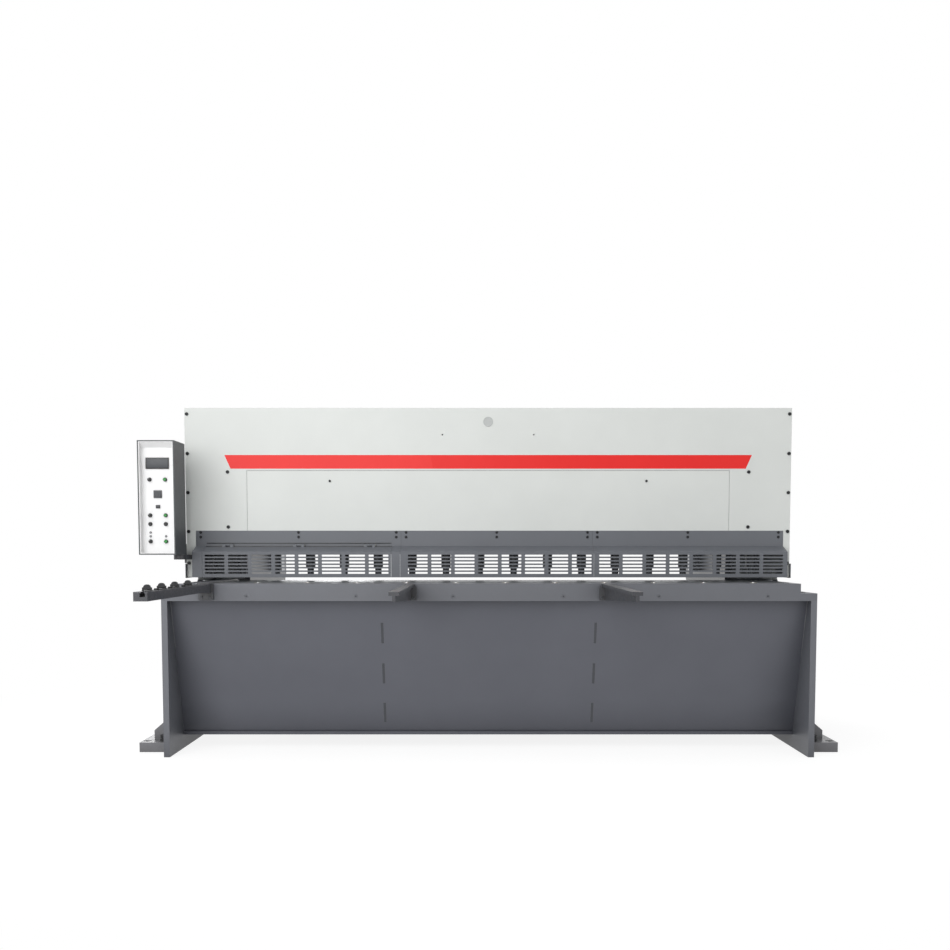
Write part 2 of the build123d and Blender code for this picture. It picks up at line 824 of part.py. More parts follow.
# The left section: a fixed rail with end brackets, and a flap that hinges up and forward
flap_low = guard_left + 54.0
flap_high = left_high - 48.0
flap_gap = 1.2
hinge_distance = 480.0
hinge_z = guard_bend + 4.0
knuckle_radius = 6.0
knuckle_half = 12.0
knuckle_outer = 30.0
hinge_pin_radius = 3.0
hinge_inset = 120.0
flap_edge = 474.0  # rear edge of the flap's shoulder
hinge_places = [flap_low + hinge_inset, (flap_low + flap_high) / 2, flap_high - hinge_inset]
with BuildPart() as guard_rail:
    side_plate(guard_outline(guard_bend), guard_left, flap_low - flap_gap)
    side_plate(guard_outline(guard_bend), flap_high + flap_gap, left_high)
    block(guard_left, left_high, cover_front, post_front, guard_bend, cover_low)
    cut_guard_holes(guard_left, left_high)
    for x in hinge_places:
        round_bar(x, hinge_distance, hinge_z, knuckle_radius, knuckle_half * 2, "X")
        block(
            x - knuckle_half, x + knuckle_half, hinge_distance, post_front, hinge_z - 4,
            hinge_z + 4,
        )
        round_bar(
            x, hinge_distance, hinge_z, hinge_pin_radius + bearing_gap / 2,
            knuckle_half * 3, "X", Mode.SUBTRACT,
        )
guard_rail.part.label = "guard_rail"
export_step(guard_rail.part, "parts/guard_rail.step")

flap_top = guard_knee + (flap_edge - guard_front) * shoulder_slope
with BuildPart() as guard_flap:
    inner = guard_front + sheet_metal
    side_plate(
        [
            (flap_edge, flap_top),
            (guard_front, guard_knee),
            (guard_front, guard_low),
            (guard_front + guard_lip, guard_low),
            (guard_front + guard_lip, guard_low + sheet_metal),
            (inner, guard_low + sheet_metal),
            (inner, guard_knee - sheet_drop),
            (flap_edge, flap_top - sheet_drop - 1),
        ],
        flap_low,
        flap_high,
    )
    cut_slots(flap_low, flap_high, 13.0)
    for x in hinge_places:
        for side in (-1, 1):
            near, far = side * (knuckle_half + running_gap), side * knuckle_outer
            x_mid = x + (near + far) / 2
            length = knuckle_outer - knuckle_half - running_gap
            block(
                x_mid - length / 2, x_mid + length / 2, flap_edge - 5, hinge_distance - 2,
                flap_top - 6, hinge_z + 2,
            )
            round_bar(x_mid, hinge_distance, hinge_z, knuckle_radius, length, "X")
            round_bar(
                x_mid, hinge_distance, hinge_z, hinge_pin_radius + bearing_gap, length + 2,
                "X", Mode.SUBTRACT,
            )
guard_flap.part.label = "guard_flap"
export_step(guard_flap.part, "parts/guard_flap.step")

guard_bolts_at = bolt_row(guard_left, left_high)
for x_low, x_high, first_inset in guard_sections:
    guard_bolts_at += bolt_row(x_low, x_high)


def hex_bolt(x, front, z, across, height, shank_radius, shank):
    # A hexagon head facing the front, with its shank behind it.
    with BuildSketch(Plane.XZ.offset(-back(front))) as head:
        with Locations((x, z)):
            RegularPolygon(across, 6)
    extrude(head.sketch, amount=height)
    round_bar(x, front + shank / 2, z, shank_radius, shank, "Y")


# Squaring arm in front of the table, with a T-slot and a fence that runs on over the table
arm_length = 1040.0
arm_width = 57.0
arm_depth = 38.0
arm_root = 46.0  # depth of the arm where it meets the front bar
slot_shift = 8.0  # the T-slot lies to the right of the arm's middle
neck_width = 14.0
neck_depth = 6.0
tee_width = 22.0
tee_depth = 15.0
end_plate = 12.0
end_plate_low = table_height - 80.0
end_plate_high = table_height - 3.0
end_plate_overlap = 8.0
fence_height = 8.0
fence_front = -60.0
fence_rear = 585.0
arm_mid = squaring_arm_mid
arm_left = arm_mid - arm_width / 2
arm_right = arm_mid + arm_width / 2
slot_mid = arm_mid + slot_shift


def cut_arm_bolts(mid):
    # Two clearance holes through an arm's end plate.
    for offset in (-arm_bolt_half, arm_bolt_half):
        round_bar(
            mid + offset, -end_plate / 2, arm_bolt_z, arm_bolt_radius + bearing_gap,
            end_plate * 2, "Y", Mode.SUBTRACT,
        )


with BuildPart() as squaring_arm:
    side_plate(
        [
            (-arm_length, table_height),
            (-arm_length, table_height - arm_depth),
            (-200, table_height - arm_depth),
            (0, table_height - arm_root),
            (0, table_height),
        ],
        arm_left,
        arm_right,
    )
    block(
        arm_left - end_plate_overlap, arm_right + end_plate_overlap, -end_plate, 0,
        end_plate_low, end_plate_high,
    )
    block(
        slot_mid - neck_width / 2, slot_mid + neck_width / 2, -arm_length - 1, -end_plate - 10,
        table_height - neck_depth - 1, table_height + 1, Mode.SUBTRACT,
    )
    block(
        slot_mid - tee_width / 2, slot_mid + tee_width / 2, -arm_length - 1, -end_plate - 10,
        table_height - neck_depth - tee_depth, table_height - neck_depth, Mode.SUBTRACT,
    )
    block(
        arm_left, arm_right, fence_front, fence_rear, table_height,
        table_height + fence_height,
    )
    cut_arm_bolts(arm_mid)
squaring_arm.part.label = "squaring_arm"
export_step(squaring_arm.part, "parts/squaring_arm.step")

# Two plain support arms: a flat top bar on a tapered web
support_width = 42.0
support_top = 16.0
support_web = 14.0
support_tip = 40.0
support_root = 78.0
support_plate_half = 34.0
with BuildPart() as support_arms:
    for x in support_places:
        block(
            x - support_width / 2, x + support_width / 2, -arm_length, 0,
            table_height - support_top, table_height,
        )
        side_plate(
            [
                (-arm_length, table_height - support_top),
                (-arm_length, table_height - support_tip),
                (-120, table_height - support_root),
                (0, table_height - support_root),
                (0, table_height - support_top),
            ],
            x - support_web / 2,
            x + support_web / 2,
        )
        block(
            x - support_plate_half, x + support_plate_half, -end_plate, 0, end_plate_low,
            table_height - support_top,
        )
        cut_arm_bolts(x)
support_arms.part.label = "support_arms"
export_step(support_arms.part, "parts/support_arms.step")

# Flip stops on the squaring arm: a base with two ears and a pin, and a finger that folds back
stop_places = (-950.0, -749.0, -551.0, -334.0)
stop_base_half = 19.0
stop_base_length = 28.0
stop_base_height = 3.0
stop_pivot_rise = 9.0
stop_ear_high = 15.0
stop_ear_length = 12.0
finger_half = 14.7
finger_thickness = 10.0
finger_high = 27.0
stop_pin_radius = 2.5
stop_pivot_z = table_height + stop_pivot_rise
with BuildPart() as flip_stop_bases:
    for distance in stop_places:
        base_top = table_height + stop_base_height
        front, rear = distance - stop_base_length / 2, distance + stop_base_length / 2
        block(
            arm_mid - stop_base_half, arm_mid + stop_base_half, front, rear, table_height,
            base_top,
        )
        for side in (-1, 1):
            xs = sorted(
                (arm_mid + side * (finger_half + running_gap), arm_mid + side * stop_base_half)
            )
            block(
                xs[0], xs[1], distance - stop_ear_length / 2, distance + stop_ear_length / 2,
                base_top, table_height + stop_ear_high,
            )
        round_bar(arm_mid, distance, stop_pivot_z, stop_pin_radius, stop_base_half * 2, "X")
flip_stop_bases.part.label = "flip_stop_bases"
export_step(flip_stop_bases.part, "parts/flip_stop_bases.step")

for index, distance in enumerate(stop_places, 1):
    with BuildPart() as flip_stop:
        finger_top = table_height + finger_high
        front_plate(
            [
                (arm_mid - finger_half, stop_pivot_z),
                (arm_mid + finger_half, stop_pivot_z),
                (arm_mid + finger_half, finger_top),
                (arm_mid - finger_half, finger_top),
            ],
            distance - finger_thickness / 2,
            distance + finger_thickness / 2,
        )
        fillet(
            edges().filter_by(Axis.Y).group_by(Axis.Z)[-1],
            finger_half - 2,
        )
        round_bar(
            arm_mid, distance, stop_pivot_z, finger_thickness / 2, finger_half * 2, "X"
        )
        round_bar(
            arm_mid, distance, stop_pivot_z, stop_pin_radius + bearing_gap, finger_half * 3,
            "X", Mode.SUBTRACT,
        )
    flip_stop.part.label = f"flip_stop_{index}"
    export_step(flip_stop.part, f"parts/flip_stop_{index}.step")

# Fasteners of the frame: bar screws, arm bolts, slot clamps, lower blade bolts, levellers,
# guard bolts and hinge pins
clamp_places = (-850.0, -650.0, -440.0)
clamp_radius = 10.0
clamp_height = 8.0
leveller_head = 18.0
leveller_head_height = 14.0
leveller_nut_height = 12.0
leveller_gap = 8.0  # the nut to the screw's head
leveller_turn = 20.0
pin_overhang = 2.0
with BuildPart() as frame_bolts:
    for x in bar_screw_places:
        round_bar(x, bar_head_depth / 2, bar_screw_z, bar_head_radius, bar_head_depth, "Y")
        shank = bar_depth - bar_head_depth
        round_bar(
            x, bar_head_depth + shank / 2, bar_screw_z, bar_screw_radius, shank, "Y"
        )
    for x in arm_bolt_places:
        hex_bolt(
            x, -end_plate, arm_bolt_z, arm_bolt_head, hex_height, arm_bolt_radius,
            end_plate + arm_bolt_reach,
        )
    for distance in clamp_places:
        round_bar(
            slot_mid, distance, table_height + clamp_height / 2, clamp_radius,
            clamp_height, "Z",
        )
    for x in blade_bolt_places:
        head_rear = shear_plane - 1
        round_bar(
            x, head_rear - (blade_head_depth - 1) / 2, lower_bolt_z, blade_head_radius,
            blade_head_depth - 1, "Y",
        )
        shank = head_rear - blade_seat
        round_bar(x, blade_seat + shank / 2, lower_bolt_z, blade_bolt_radius, shank, "Y")
    for side, end in foot_ends:
        x = side * (half_width + leveller_inset)
        distance = from_end(leveller_front, end)
        with BuildSketch(Plane.XY.offset(foot_height)) as nut:
            with Locations((x, back(distance))):
                RegularPolygon(leveller_head, 6)
        extrude(nut.sketch, amount=leveller_nut_height)
        head_low = foot_height + leveller_nut_height + leveller_gap
        with BuildSketch(Plane.XY.offset(head_low)) as head:
            with Locations((x, back(distance))):
                RegularPolygon(leveller_head, 6, rotation=leveller_turn)
        extrude(head.sketch, amount=leveller_head_height)
        round_bar(x, distance, head_low / 2, leveller_radius, head_low, "Z")
    for x in guard_bolts_at:
        for z in guard_screw_heights:
            head_mid = cover_front - guard_head_height / 2
            round_bar(x, head_mid, z, guard_head_radius, guard_head_height, "Y")
            round_bar(
                x, cover_front + sheet_metal / 2, z, guard_screw_radius, sheet_metal, "Y"
            )
    for x in hinge_places:
        pin_length = 2 * (knuckle_outer + pin_overhang)
        round_bar(x, hinge_distance, hinge_z, hinge_pin_radius, pin_length, "X")
frame_bolts.part.label = "frame_bolts"
export_step(frame_bolts.part, "parts/frame_bolts.step")

# Swivelling control box beside the front cover, on a bracket outside the left side frame
box_width = 186.0
box_depth = 200.0
box_height = 576.0
box_reach = 147.0  # outer side of the box beyond the side frame
box_front = 137.0
box_low = table_height + 142.0
box_wall = 6.0
box_floor = 12.0
hood_depth = 36.0
hood_wall = 4.0
hood_drop = 24.0
swivel_x = -half_width + 13.0
swivel_distance = 312.0
swivel_radius = 15.0
boss_radius = 32.0
bracket_height = 25.0
bracket_clearance = 8.0  # the bracket's end to the front cover
bracket_foot = 120.0
bracket_plate = 12.0
bracket_seat = 3.0
bracket_seat_height = 102.0
box_left = -half_width - box_reach
box_right = box_left + box_width
box_rear = box_front + box_depth
box_high = box_low + box_height
bracket_high = box_low - running_gap
bracket_low = bracket_high - bracket_height
with BuildPart() as swivel_bracket:
    round_bar(
        swivel_x, swivel_distance, (bracket_high + bracket_low) / 2, boss_radius,
        bracket_height, "Z",
    )
    block(
        swivel_x - boss_radius, swivel_x + boss_radius, swivel_distance,
        cover_front - bracket_clearance, bracket_low, bracket_high,
    )
    block(
        swivel_x - boss_radius, -half_width, swivel_distance, post_front + bracket_foot,
        bracket_low, bracket_high,
    )
    block(
        -half_width - bracket_plate, -half_width, post_front, post_front + bracket_foot,
        throat_plate_high + bracket_seat, throat_plate_high + bracket_seat + bracket_seat_height,
    )
    round_bar(
        swivel_x, swivel_distance, (bracket_low + box_low + box_floor) / 2, swivel_radius,
        box_low + box_floor - bracket_low, "Z",
    )
swivel_bracket.part.label = "swivel_bracket"
export_step(swivel_bracket.part, "parts/swivel_bracket.step")

with BuildPart() as control_box:
    block(box_left, box_right, box_front, box_rear, box_low, box_high)
    block(
        box_left + box_wall, box_right - box_wall, box_front - 1, box_rear - box_wall,
        box_low + box_wall, box_high - box_wall, Mode.SUBTRACT,
    )
    block(
        swivel_x - boss_radius, box_right, swivel_distance - boss_radius + 5, box_rear,
        box_low, box_low + box_floor,
    )
    round_bar(
        swivel_x, swivel_distance, box_low, swivel_radius + bearing_gap, box_floor * 3, "Z",
        Mode.SUBTRACT,
    )
control_box.part.label = "control_box"
export_step(control_box.part, "parts/control_box.step")

# White operator panel: a tray whose walls line the hood of the box
panel_front = box_front + hood_depth
panel_plate = 3.0
panel_mid = -half_width - 58.5
left_column = -38.0
right_column = 40.5
stem_radius = 5.0
lining_inset = 1.0  # the lining's front edge behind the shell's
row_rises = (523.0, 342.0, 298.0, 210.0)  # rows of devices above the table
controls = [
    ("speed_knob", left_column, row_rises[0]),
    ("start_button", right_column, row_rises[0]),
    ("mode_selector", left_column, row_rises[1]),
    ("gauge_button", right_column, row_rises[1]),
    ("gauge_back_button", left_column, row_rises[2]),
    ("gauge_front_button", right_column, row_rises[2]),
    ("stroke_selector", left_column, row_rises[3]),
    ("cut_button", right_column, row_rises[3]),
]
with BuildPart() as control_panel:
    block(
        box_left + box_wall, box_right - box_wall, box_front + lining_inset,
        panel_front + panel_plate, box_low + box_wall, box_high - box_wall,
    )
    wall = box_wall + hood_wall
    block(
        box_left + wall, box_right - wall, box_front - 1, panel_front, box_low + wall,
        box_high - wall, Mode.SUBTRACT,
    )
    side_plate(
        [
            (box_front + hood_wall, box_high - wall),
            (panel_front, box_high - wall),
            (panel_front, box_high - wall - hood_drop),
        ],
        box_left + wall,
        box_right - wall,
    )
    for name, offset, rise in controls:
        round_bar(
            panel_mid + offset, panel_front, table_height + rise, stem_radius + running_gap,
            panel_plate * 4, "Y", Mode.SUBTRACT,
        )
control_panel.part.label = "control_panel"
export_step(control_panel.part, "parts/control_panel.step")

# Fixed fittings on the panel: displays, pilot lamps and the bezels of the devices
bezel_radius = 10.5
bezel_bore = 8.3
bezel_height = 7.0
display_width = 118.0
display_height = 57.0
display_depth = 6.0
display_shift = 2.5
display_rise = 605.0
unit_width = 42.0
unit_height = 39.0
unit_rise = 449.0
small_unit_width = 21.0
small_unit_height = 17.0
small_unit_rise = 386.0
lamp_radius = 6.0
lamp_height = 5.0
lamps = [(left_column, 255.0), (left_column, 236.0), (right_column, 236.0)]
with BuildPart() as panel_fittings:
    for width, height, rise in (
        (display_width, display_height, display_rise),
        (unit_width, unit_height, unit_rise),
        (small_unit_width, small_unit_height, small_unit_rise),
    ):
        x, z = panel_mid + display_shift, table_height + rise
        block(
            x - width / 2, x + width / 2, panel_front - display_depth, panel_front,
            z - height / 2, z + height / 2,
        )
    for offset, rise in lamps:
        round_bar(
            panel_mid + offset, panel_front - lamp_height / 2, table_height + rise,
            lamp_radius, lamp_height, "Y",
        )
    for name, offset, rise in controls:
        x, z = panel_mid + offset, table_height + rise
        round_bar(x, panel_front - bezel_height / 2, z, bezel_radius, bezel_height, "Y")
        round_bar(
            x, panel_front - bezel_height / 2, z, bezel_bore, bezel_height + 1, "Y",
            Mode.SUBTRACT,
        )
panel_fittings.part.label = "panel_fittings"
export_step(panel_fittings.part, "parts/panel_fittings.step")

# The devices themselves: push buttons travel into the panel, knobs and selectors turn
button_front = panel_front - 14.0
button_rear = panel_front - 4.0  # leaves the button's travel in front of the panel
stem_rear = panel_front + 16.0
knob_front = panel_front - 18.0
knob_rear = panel_front - 3.0
cap_edge = 1.5
grip_width = 6.0
grip_height = 5.0
for name, offset, rise in controls:
    x, z = panel_mid + offset, table_height + rise
    front, rear = (button_front, button_rear) if "button" in name else (knob_front, knob_rear)
    cap_radius = bezel_bore - running_gap
    with BuildPart() as device:
        round_bar(x, (front + rear) / 2, z, cap_radius, rear - front, "Y")
        fillet(edges().filter_by(GeomType.CIRCLE).group_by(Axis.Y)[0], cap_edge)
        round_bar(x, (rear + stem_rear) / 2, z, stem_radius, stem_rear - rear, "Y")
        if "button" not in name:
            block(
                x - grip_width / 2, x + grip_width / 2, front - grip_height, front + 1,
                z - cap_radius + 1, z + cap_radius - 1,
            )
    device.part.label = name
    export_step(device.part, f"parts/{name}.step")

# Rear tie beams: two carry the tank, motor and cabinet, one carries the chute
tie_depth = 60.0
tie_height = 40.0
shelf_z = frame_height - 504.0  # top of the upper tie beams
shelf_front = 980.0
shelf_rear = 1260.0
low_tie_front = 1495.0
low_tie_depth = 70.0
chute_foot_z = 149.0
post_low = 640.0  # stiffening plates on the side frames, below the front tie
post_high = table_height + 230.0
post_inner = inner_half - 203.0
with BuildPart() as rear_ties:
    for front in (shelf_front, shelf_rear):
        block(-inner_half, inner_half, front, front + tie_depth, shelf_z - tie_height, shelf_z)
    for side in (-1, 1):
        xs = sorted((side * post_inner, side * inner_half))
        block(xs[0], xs[1], shelf_front, shelf_front + tie_depth, post_low, post_high)
    block(
        -inner_half, inner_half, low_tie_front, low_tie_front + low_tie_depth,
        chute_foot_z - low_tie_depth, chute_foot_z,
    )
rear_ties.part.label = "rear_ties"
export_step(rear_ties.part, "parts/rear_ties.step")

# Chute behind the blades for the cut-off pieces
chute_inset = 295.0
chute_top = 640.0
chute_tab = 60.0
chute_lip = 50.0
chute_end = low_tie_front + low_tie_depth
chute_half = inner_half - chute_inset
chute_mouth = shear_plane + sheet_metal
chute_low = chute_foot_z + sheet_metal
with BuildPart() as sheet_chute:
    side_plate(
        [
            (shear_plane, chute_top + chute_tab),
            (chute_mouth, chute_top + chute_tab),
            (chute_mouth, chute_top),
            (low_tie_front, chute_low),
            (chute_end, chute_low),
            (chute_end, chute_foot_z),
            (low_tie_front - 1, chute_foot_z),
            (shear_plane, chute_top - sheet_metal),
        ],
        -chute_half,
        chute_half,
    )
    for x in (-chute_half, chute_half - sheet_metal):
        side_plate(
            [
                (chute_mouth, chute_top),
                (chute_mouth, chute_top + chute_lip),
                (low_tie_front, chute_low + chute_lip),
                (low_tie_front, chute_low),
            ],
            x,
            x + sheet_metal,
        )
sheet_chute.part.label = "sheet_chute"
export_step(sheet_chute.part, "parts/sheet_chute.step")

# Oil tank on the upper tie beams, with a lid, filler cap and sight gauge
tank_left = -900.0
tank_right = 200.0
tank_front = 960.0
tank_rear = 1340.0
tank_height = 345.0
lid_plate = 10.0
lid_overhang = 12.0
lid_z = shelf_z + tank_height
tank_wall = 5.0
filler_inset = 150.0  # filler neck to the tank's left side
filler_rear = 90.0  # filler neck to the tank's rear side
neck_radius = 36.0
neck_height = 50.0
filler_radius = 44.0
filler_height = 24.0
sight_inset = 180.0  # sight glass to the tank's right side
sight_width = 30.0
sight_depth = 14.0
sight_low = 80.0
sight_height = 140.0
drain_inset = 300.0
drain_rise = 40.0
drain_radius = 16.0
drain_length = 16.0
with BuildPart() as oil_tank:
    block(tank_left, tank_right, tank_front, tank_rear, shelf_z, lid_z)
    block(
        tank_left + tank_wall, tank_right - tank_wall, tank_front + tank_wall,
        tank_rear - tank_wall, shelf_z + tank_wall, lid_z, Mode.SUBTRACT,
    )
    block(
        tank_left - lid_overhang, tank_right + lid_overhang, tank_front - lid_overhang,
        tank_rear + lid_overhang, lid_z, lid_z + lid_plate,
    )
    filler_x = tank_left + filler_inset
    filler_distance = tank_rear - filler_rear
    neck_low = lid_z + lid_plate
    round_bar(
        filler_x, filler_distance, neck_low + neck_height / 2, neck_radius, neck_height, "Z"
    )
    round_bar(
        filler_x, filler_distance, neck_low + neck_height + filler_height / 2 - 1,
        filler_radius, filler_height, "Z",
    )
    block(
        tank_right - sight_inset, tank_right - sight_inset + sight_width, tank_rear,
        tank_rear + sight_depth, shelf_z + sight_low, shelf_z + sight_low + sight_height,
    )
    round_bar(
        tank_left + drain_inset, tank_rear + drain_length / 2, shelf_z + drain_rise,
        drain_radius, drain_length, "Y",
    )
oil_tank.part.label = "oil_tank"
export_step(oil_tank.part, "parts/oil_tank.step")

# Motor and pump beside the tank
motor_left = 320.0
motor_length = 300.0
motor_radius = 110.0
motor_distance = 1150.0
motor_z = shelf_z + 130.0
fin_count = 20
fin_height = 6.0
fin_width = 4.0
cowl_length = 50.0  # fan cowl at the motor's left end
flange_length = 16.0
foot_margin = 40.0
foot_half_depth = 120.0
terminal_half_width = 60.0
terminal_half_depth = 50.0
terminal_sink = 12.0
terminal_rise = 50.0
bell_radius = 88.0
bell_length = 60.0
pump_length = 120.0
pump_radius = 60.0
motor_right = motor_left + motor_length
pump_mid = motor_right + bell_length + pump_length / 2
with BuildPart() as pump_motor:
    motor_mid = motor_left + motor_length / 2
    round_bar(motor_mid, motor_distance, motor_z, motor_radius - fin_height, motor_length, "X")
    with BuildSketch(Plane.YZ.offset(motor_left + cowl_length)) as fins:
        with Locations((back(motor_distance), motor_z)):
            with PolarLocations(motor_radius - fin_height, fin_count):
                Rectangle(fin_height * 2, fin_width)
    extrude(fins.sketch, amount=motor_length - cowl_length - flange_length)
    round_bar(
        motor_left + cowl_length / 2, motor_distance, motor_z, motor_radius, cowl_length, "X"
    )
    round_bar(
        motor_right - flange_length / 2, motor_distance, motor_z, motor_radius,
        flange_length, "X",
    )
    block(
        motor_left + foot_margin, motor_right - foot_margin,
        motor_distance - foot_half_depth, motor_distance + foot_half_depth, shelf_z,
        motor_z - motor_radius + fin_height * 1.5,
    )
    block(
        motor_mid - terminal_half_width, motor_mid + terminal_half_width,
        motor_distance - terminal_half_depth, motor_distance + terminal_half_depth,
        motor_z + motor_radius - terminal_sink, motor_z + motor_radius + terminal_rise,
    )
    round_bar(
        motor_right + bell_length / 2, motor_distance, motor_z, bell_radius, bell_length, "X"
    )
    round_bar(pump_mid, motor_distance, motor_z, pump_radius, pump_length, "X")
pump_motor.part.label = "pump_motor"
export_step(pump_motor.part, "parts/pump_motor.step")

# Valve block on the tank's lid
valve_left = -500.0
valve_right = -180.0
valve_front = 980.0
valve_rear = 1180.0
valve_height = 110.0
valve_low = lid_z + lid_plate
coil_side = 44.0
coil_length = 70.0
coil_rise = 30.0
coil_pitch = 100.0
coil_inset = 60.0
plunger_radius = 12.0
plunger_length = 16.0
coil_places = spread(valve_left + coil_inset, valve_right - coil_inset + 10, coil_pitch)
with BuildPart() as valve_block:
    block(
        valve_left, valve_right, valve_front, valve_rear, valve_low, valve_low + valve_height
    )
    coil_low = valve_low + coil_rise
    coil_rear = valve_rear + coil_length
    for x in coil_places:
        block(
            x - coil_side / 2, x + coil_side / 2, valve_rear, coil_rear, coil_low,
            coil_low + coil_side,
        )
        round_bar(
            x, coil_rear + plunger_length / 2, coil_low + coil_side / 2, plunger_radius,
            plunger_length, "Y",
        )
valve_block.part.label = "valve_block"
export_step(valve_block.part, "parts/valve_block.step")

# Rigid oil pipes between the cylinders, the valve block, the pump and the tank
pipe_radius = 10.0
suction_radius = 16.0
header_radius = 8.0
pipe_bend = 40.0
pipe_gap = 0.2
upper_pipe = (1010.0, 50.0)  # distance and rise above the tank's lid
lower_pipe = (1080.0, 85.0)
pressure_rise = 18.0
suction_distance = 1000.0
link_rise = 70.0
upper_port_z = cross_low - port_inset
lower_port_z = barrel_low + port_inset
barrel_rear = cylinder_distance + barrel_radius + pipe_gap


def oil_pipe(route, radius, bend):
    # A round tube along straight runs with tangent bends; the route is (x, distance, z).
    points = [(x, back(distance), z) for x, distance, z in route]
    with BuildLine(mode=Mode.PRIVATE) as centre_line:
        if len(points) > 2:
            FilletPolyline(*points, radius=bend)
        else:
            Line(*points)
    start = Plane(origin=centre_line.line @ 0, z_dir=centre_line.line % 0)
    with BuildSketch(start) as section:
        Circle(radius)
    sweep(section.sketch, path=centre_line.line)


with BuildPart() as oil_pipes:
    for side, face in ((-1, valve_left - pipe_gap), (1, valve_right + pipe_gap)):
        x = side * cylinder_x
        for port_z, distance, run_z in (
            (upper_port_z, upper_pipe[0], valve_low + upper_pipe[1]),
            (lower_port_z, lower_pipe[0], valve_low + lower_pipe[1]),
        ):
            oil_pipe(
                [
                    (x, barrel_rear, port_z),
                    (x, distance, port_z),
                    (x, distance, run_z),
                    (face, distance, run_z),
                ],
                pipe_radius,
                min(pipe_bend, (run_z - port_z) / 2 - 1),
            )
    oil_pipe(
        [
            (pump_mid, motor_distance, motor_z + pump_radius + pipe_gap),
            (pump_mid, motor_distance, valve_low + pressure_rise),
            (valve_right + pipe_gap, motor_distance, valve_low + pressure_rise),
        ],
        pipe_radius,
        pipe_bend,
    )
    oil_pipe(
        [
            (pump_mid, motor_distance - pump_radius - pipe_gap, motor_z),
            (pump_mid, suction_distance, motor_z),
            (tank_right + pipe_gap, suction_distance, motor_z),
        ],
        suction_radius,
        pipe_bend / 2,
    )
    header_z = hold_barrel_high + header_radius + pipe_gap
    header_length = hold_places[-1] - hold_places[0] + 40
    header_mid = (hold_places[0] + hold_places[-1]) / 2
    round_bar(header_mid, hold_distance, header_z, header_radius, header_length, "X")
    riser = cross_low - pipe_gap - header_z
    round_bar(0, hold_distance, header_z + riser / 2, header_radius, riser, "Z")
    link = valve_front - cross_rear - 2 * pipe_gap
    round_bar(
        (valve_left + valve_right) / 2, (cross_rear + valve_front) / 2, valve_low + link_rise,
        header_radius, link, "Y",
    )
oil_pipes.part.label = "oil_pipes"
export_step(oil_pipes.part, "parts/oil_pipes.step")

# Electrical cabinet on the tie beams, with a door to the rear and a gland for the supply
cabinet_left = 900.0
cabinet_right = 1400.0
cabinet_height = 375.0
cabinet_wall = 20.0
door_plate = 6.0
door_margin = 15.0
lock_inset = 50.0
lock_radius = 14.0
lock_height = 12.0
gland_radius = 14.0
gland_length = 30.0
gland_front = 120.0  # gland to the cabinet's rear side
gland_rise = 60.0
with BuildPart() as electrical_cabinet:
    block(
        cabinet_left, cabinet_right, tank_front, tank_rear, shelf_z, shelf_z + cabinet_height
    )
    block(
        cabinet_left + cabinet_wall, cabinet_right - cabinet_wall, tank_front + cabinet_wall,
        tank_rear, shelf_z + cabinet_wall, shelf_z + cabinet_height - cabinet_wall,
        Mode.SUBTRACT,
    )
    block(
        cabinet_left + door_margin, cabinet_right - door_margin, tank_rear,
        tank_rear + door_plate, shelf_z + door_margin, shelf_z + cabinet_height - door_margin,
    )
    round_bar(
        cabinet_left + lock_inset, tank_rear + door_plate + lock_height / 2,
        shelf_z + cabinet_height / 2, lock_radius, lock_height, "Y",
    )
    round_bar(
        cabinet_right + gland_length / 2, tank_rear - gland_front, shelf_z + gland_rise,
        gland_radius, gland_length, "X",
    )
electrical_cabinet.part.label = "electrical_cabinet"
export_step(electrical_cabinet.part, "parts/electrical_cabinet.step")

# Back gauge on the blade beam: arms with rails, ball screws, carriages and a swing-up bar
gauge_arm_inset = 215.0  # outer face of a gauge arm to the inside of the side frame
gauge_arm_plate = 30.0
gauge_arm_rear = 1960.0
gauge_arm_high = table_height + 322.0
gauge_arm_low = table_height - 50.0
gauge_arm_chin = 60.0  # length of the slope at the arm's rear lower corner
gauge_arm_shoulder = 50.0
gauge_arm_waist = 70.0
pivot_z = table_height + 262.0
gauge_rest = 1500.0  # pivot of the gauge bar at rest
gauge_reach = 145.0  # pivot to the working face of the bar
gauge_plate = 15.0
gauge_bar_height = 100.0
gauge_bar_low = table_height + 17.0
fold_angle = 105.0
tube_radius = 30.0
journal_radius = 18.0
journal_length = 26.0
carriage_low = table_height + 32.0
carriage_width = 55.0
carriage_ahead = 38.0
carriage_behind = 60.0
carriage_side_gap = 5.0
rail_depth = 20.0
rail_low = table_height + 277.0
rail_high = table_height + 302.0
rail_front = 760.0
screw_radius = 12.5
screw_z = table_height + 212.0
screw_offset = 35.0  # screw axis to the inner face of the gauge arm
screw_front = 738.0
screw_rear = 1903.0
bearing_depth = 28.0
bearing_half_height = 30.0
bearing_inner = 20.0  # screw axis to the bearing's inner side
shaft_socket = 20.0
housing_front = 1890.0
housing_depth = 60.0
housing_width = 70.0
housing_low = screw_z - 35.0
housing_high = table_height + 377.0
shaft_radius = 12.5
shaft_z = table_height + 350.0
shaft_distance = housing_front + housing_depth / 2
arm_outer = inner_half - gauge_arm_inset
arm_inner = arm_outer - gauge_arm_plate
screw_x = arm_inner - screw_offset
carriage_outer = arm_inner - carriage_side_gap
carriage_inner = carriage_outer - carriage_width


def both_sides(x_near, x_far):
    # The same stretch of X on the left and on the right of the machine.
    return [(-x_far, -x_near), (x_near, x_far)]


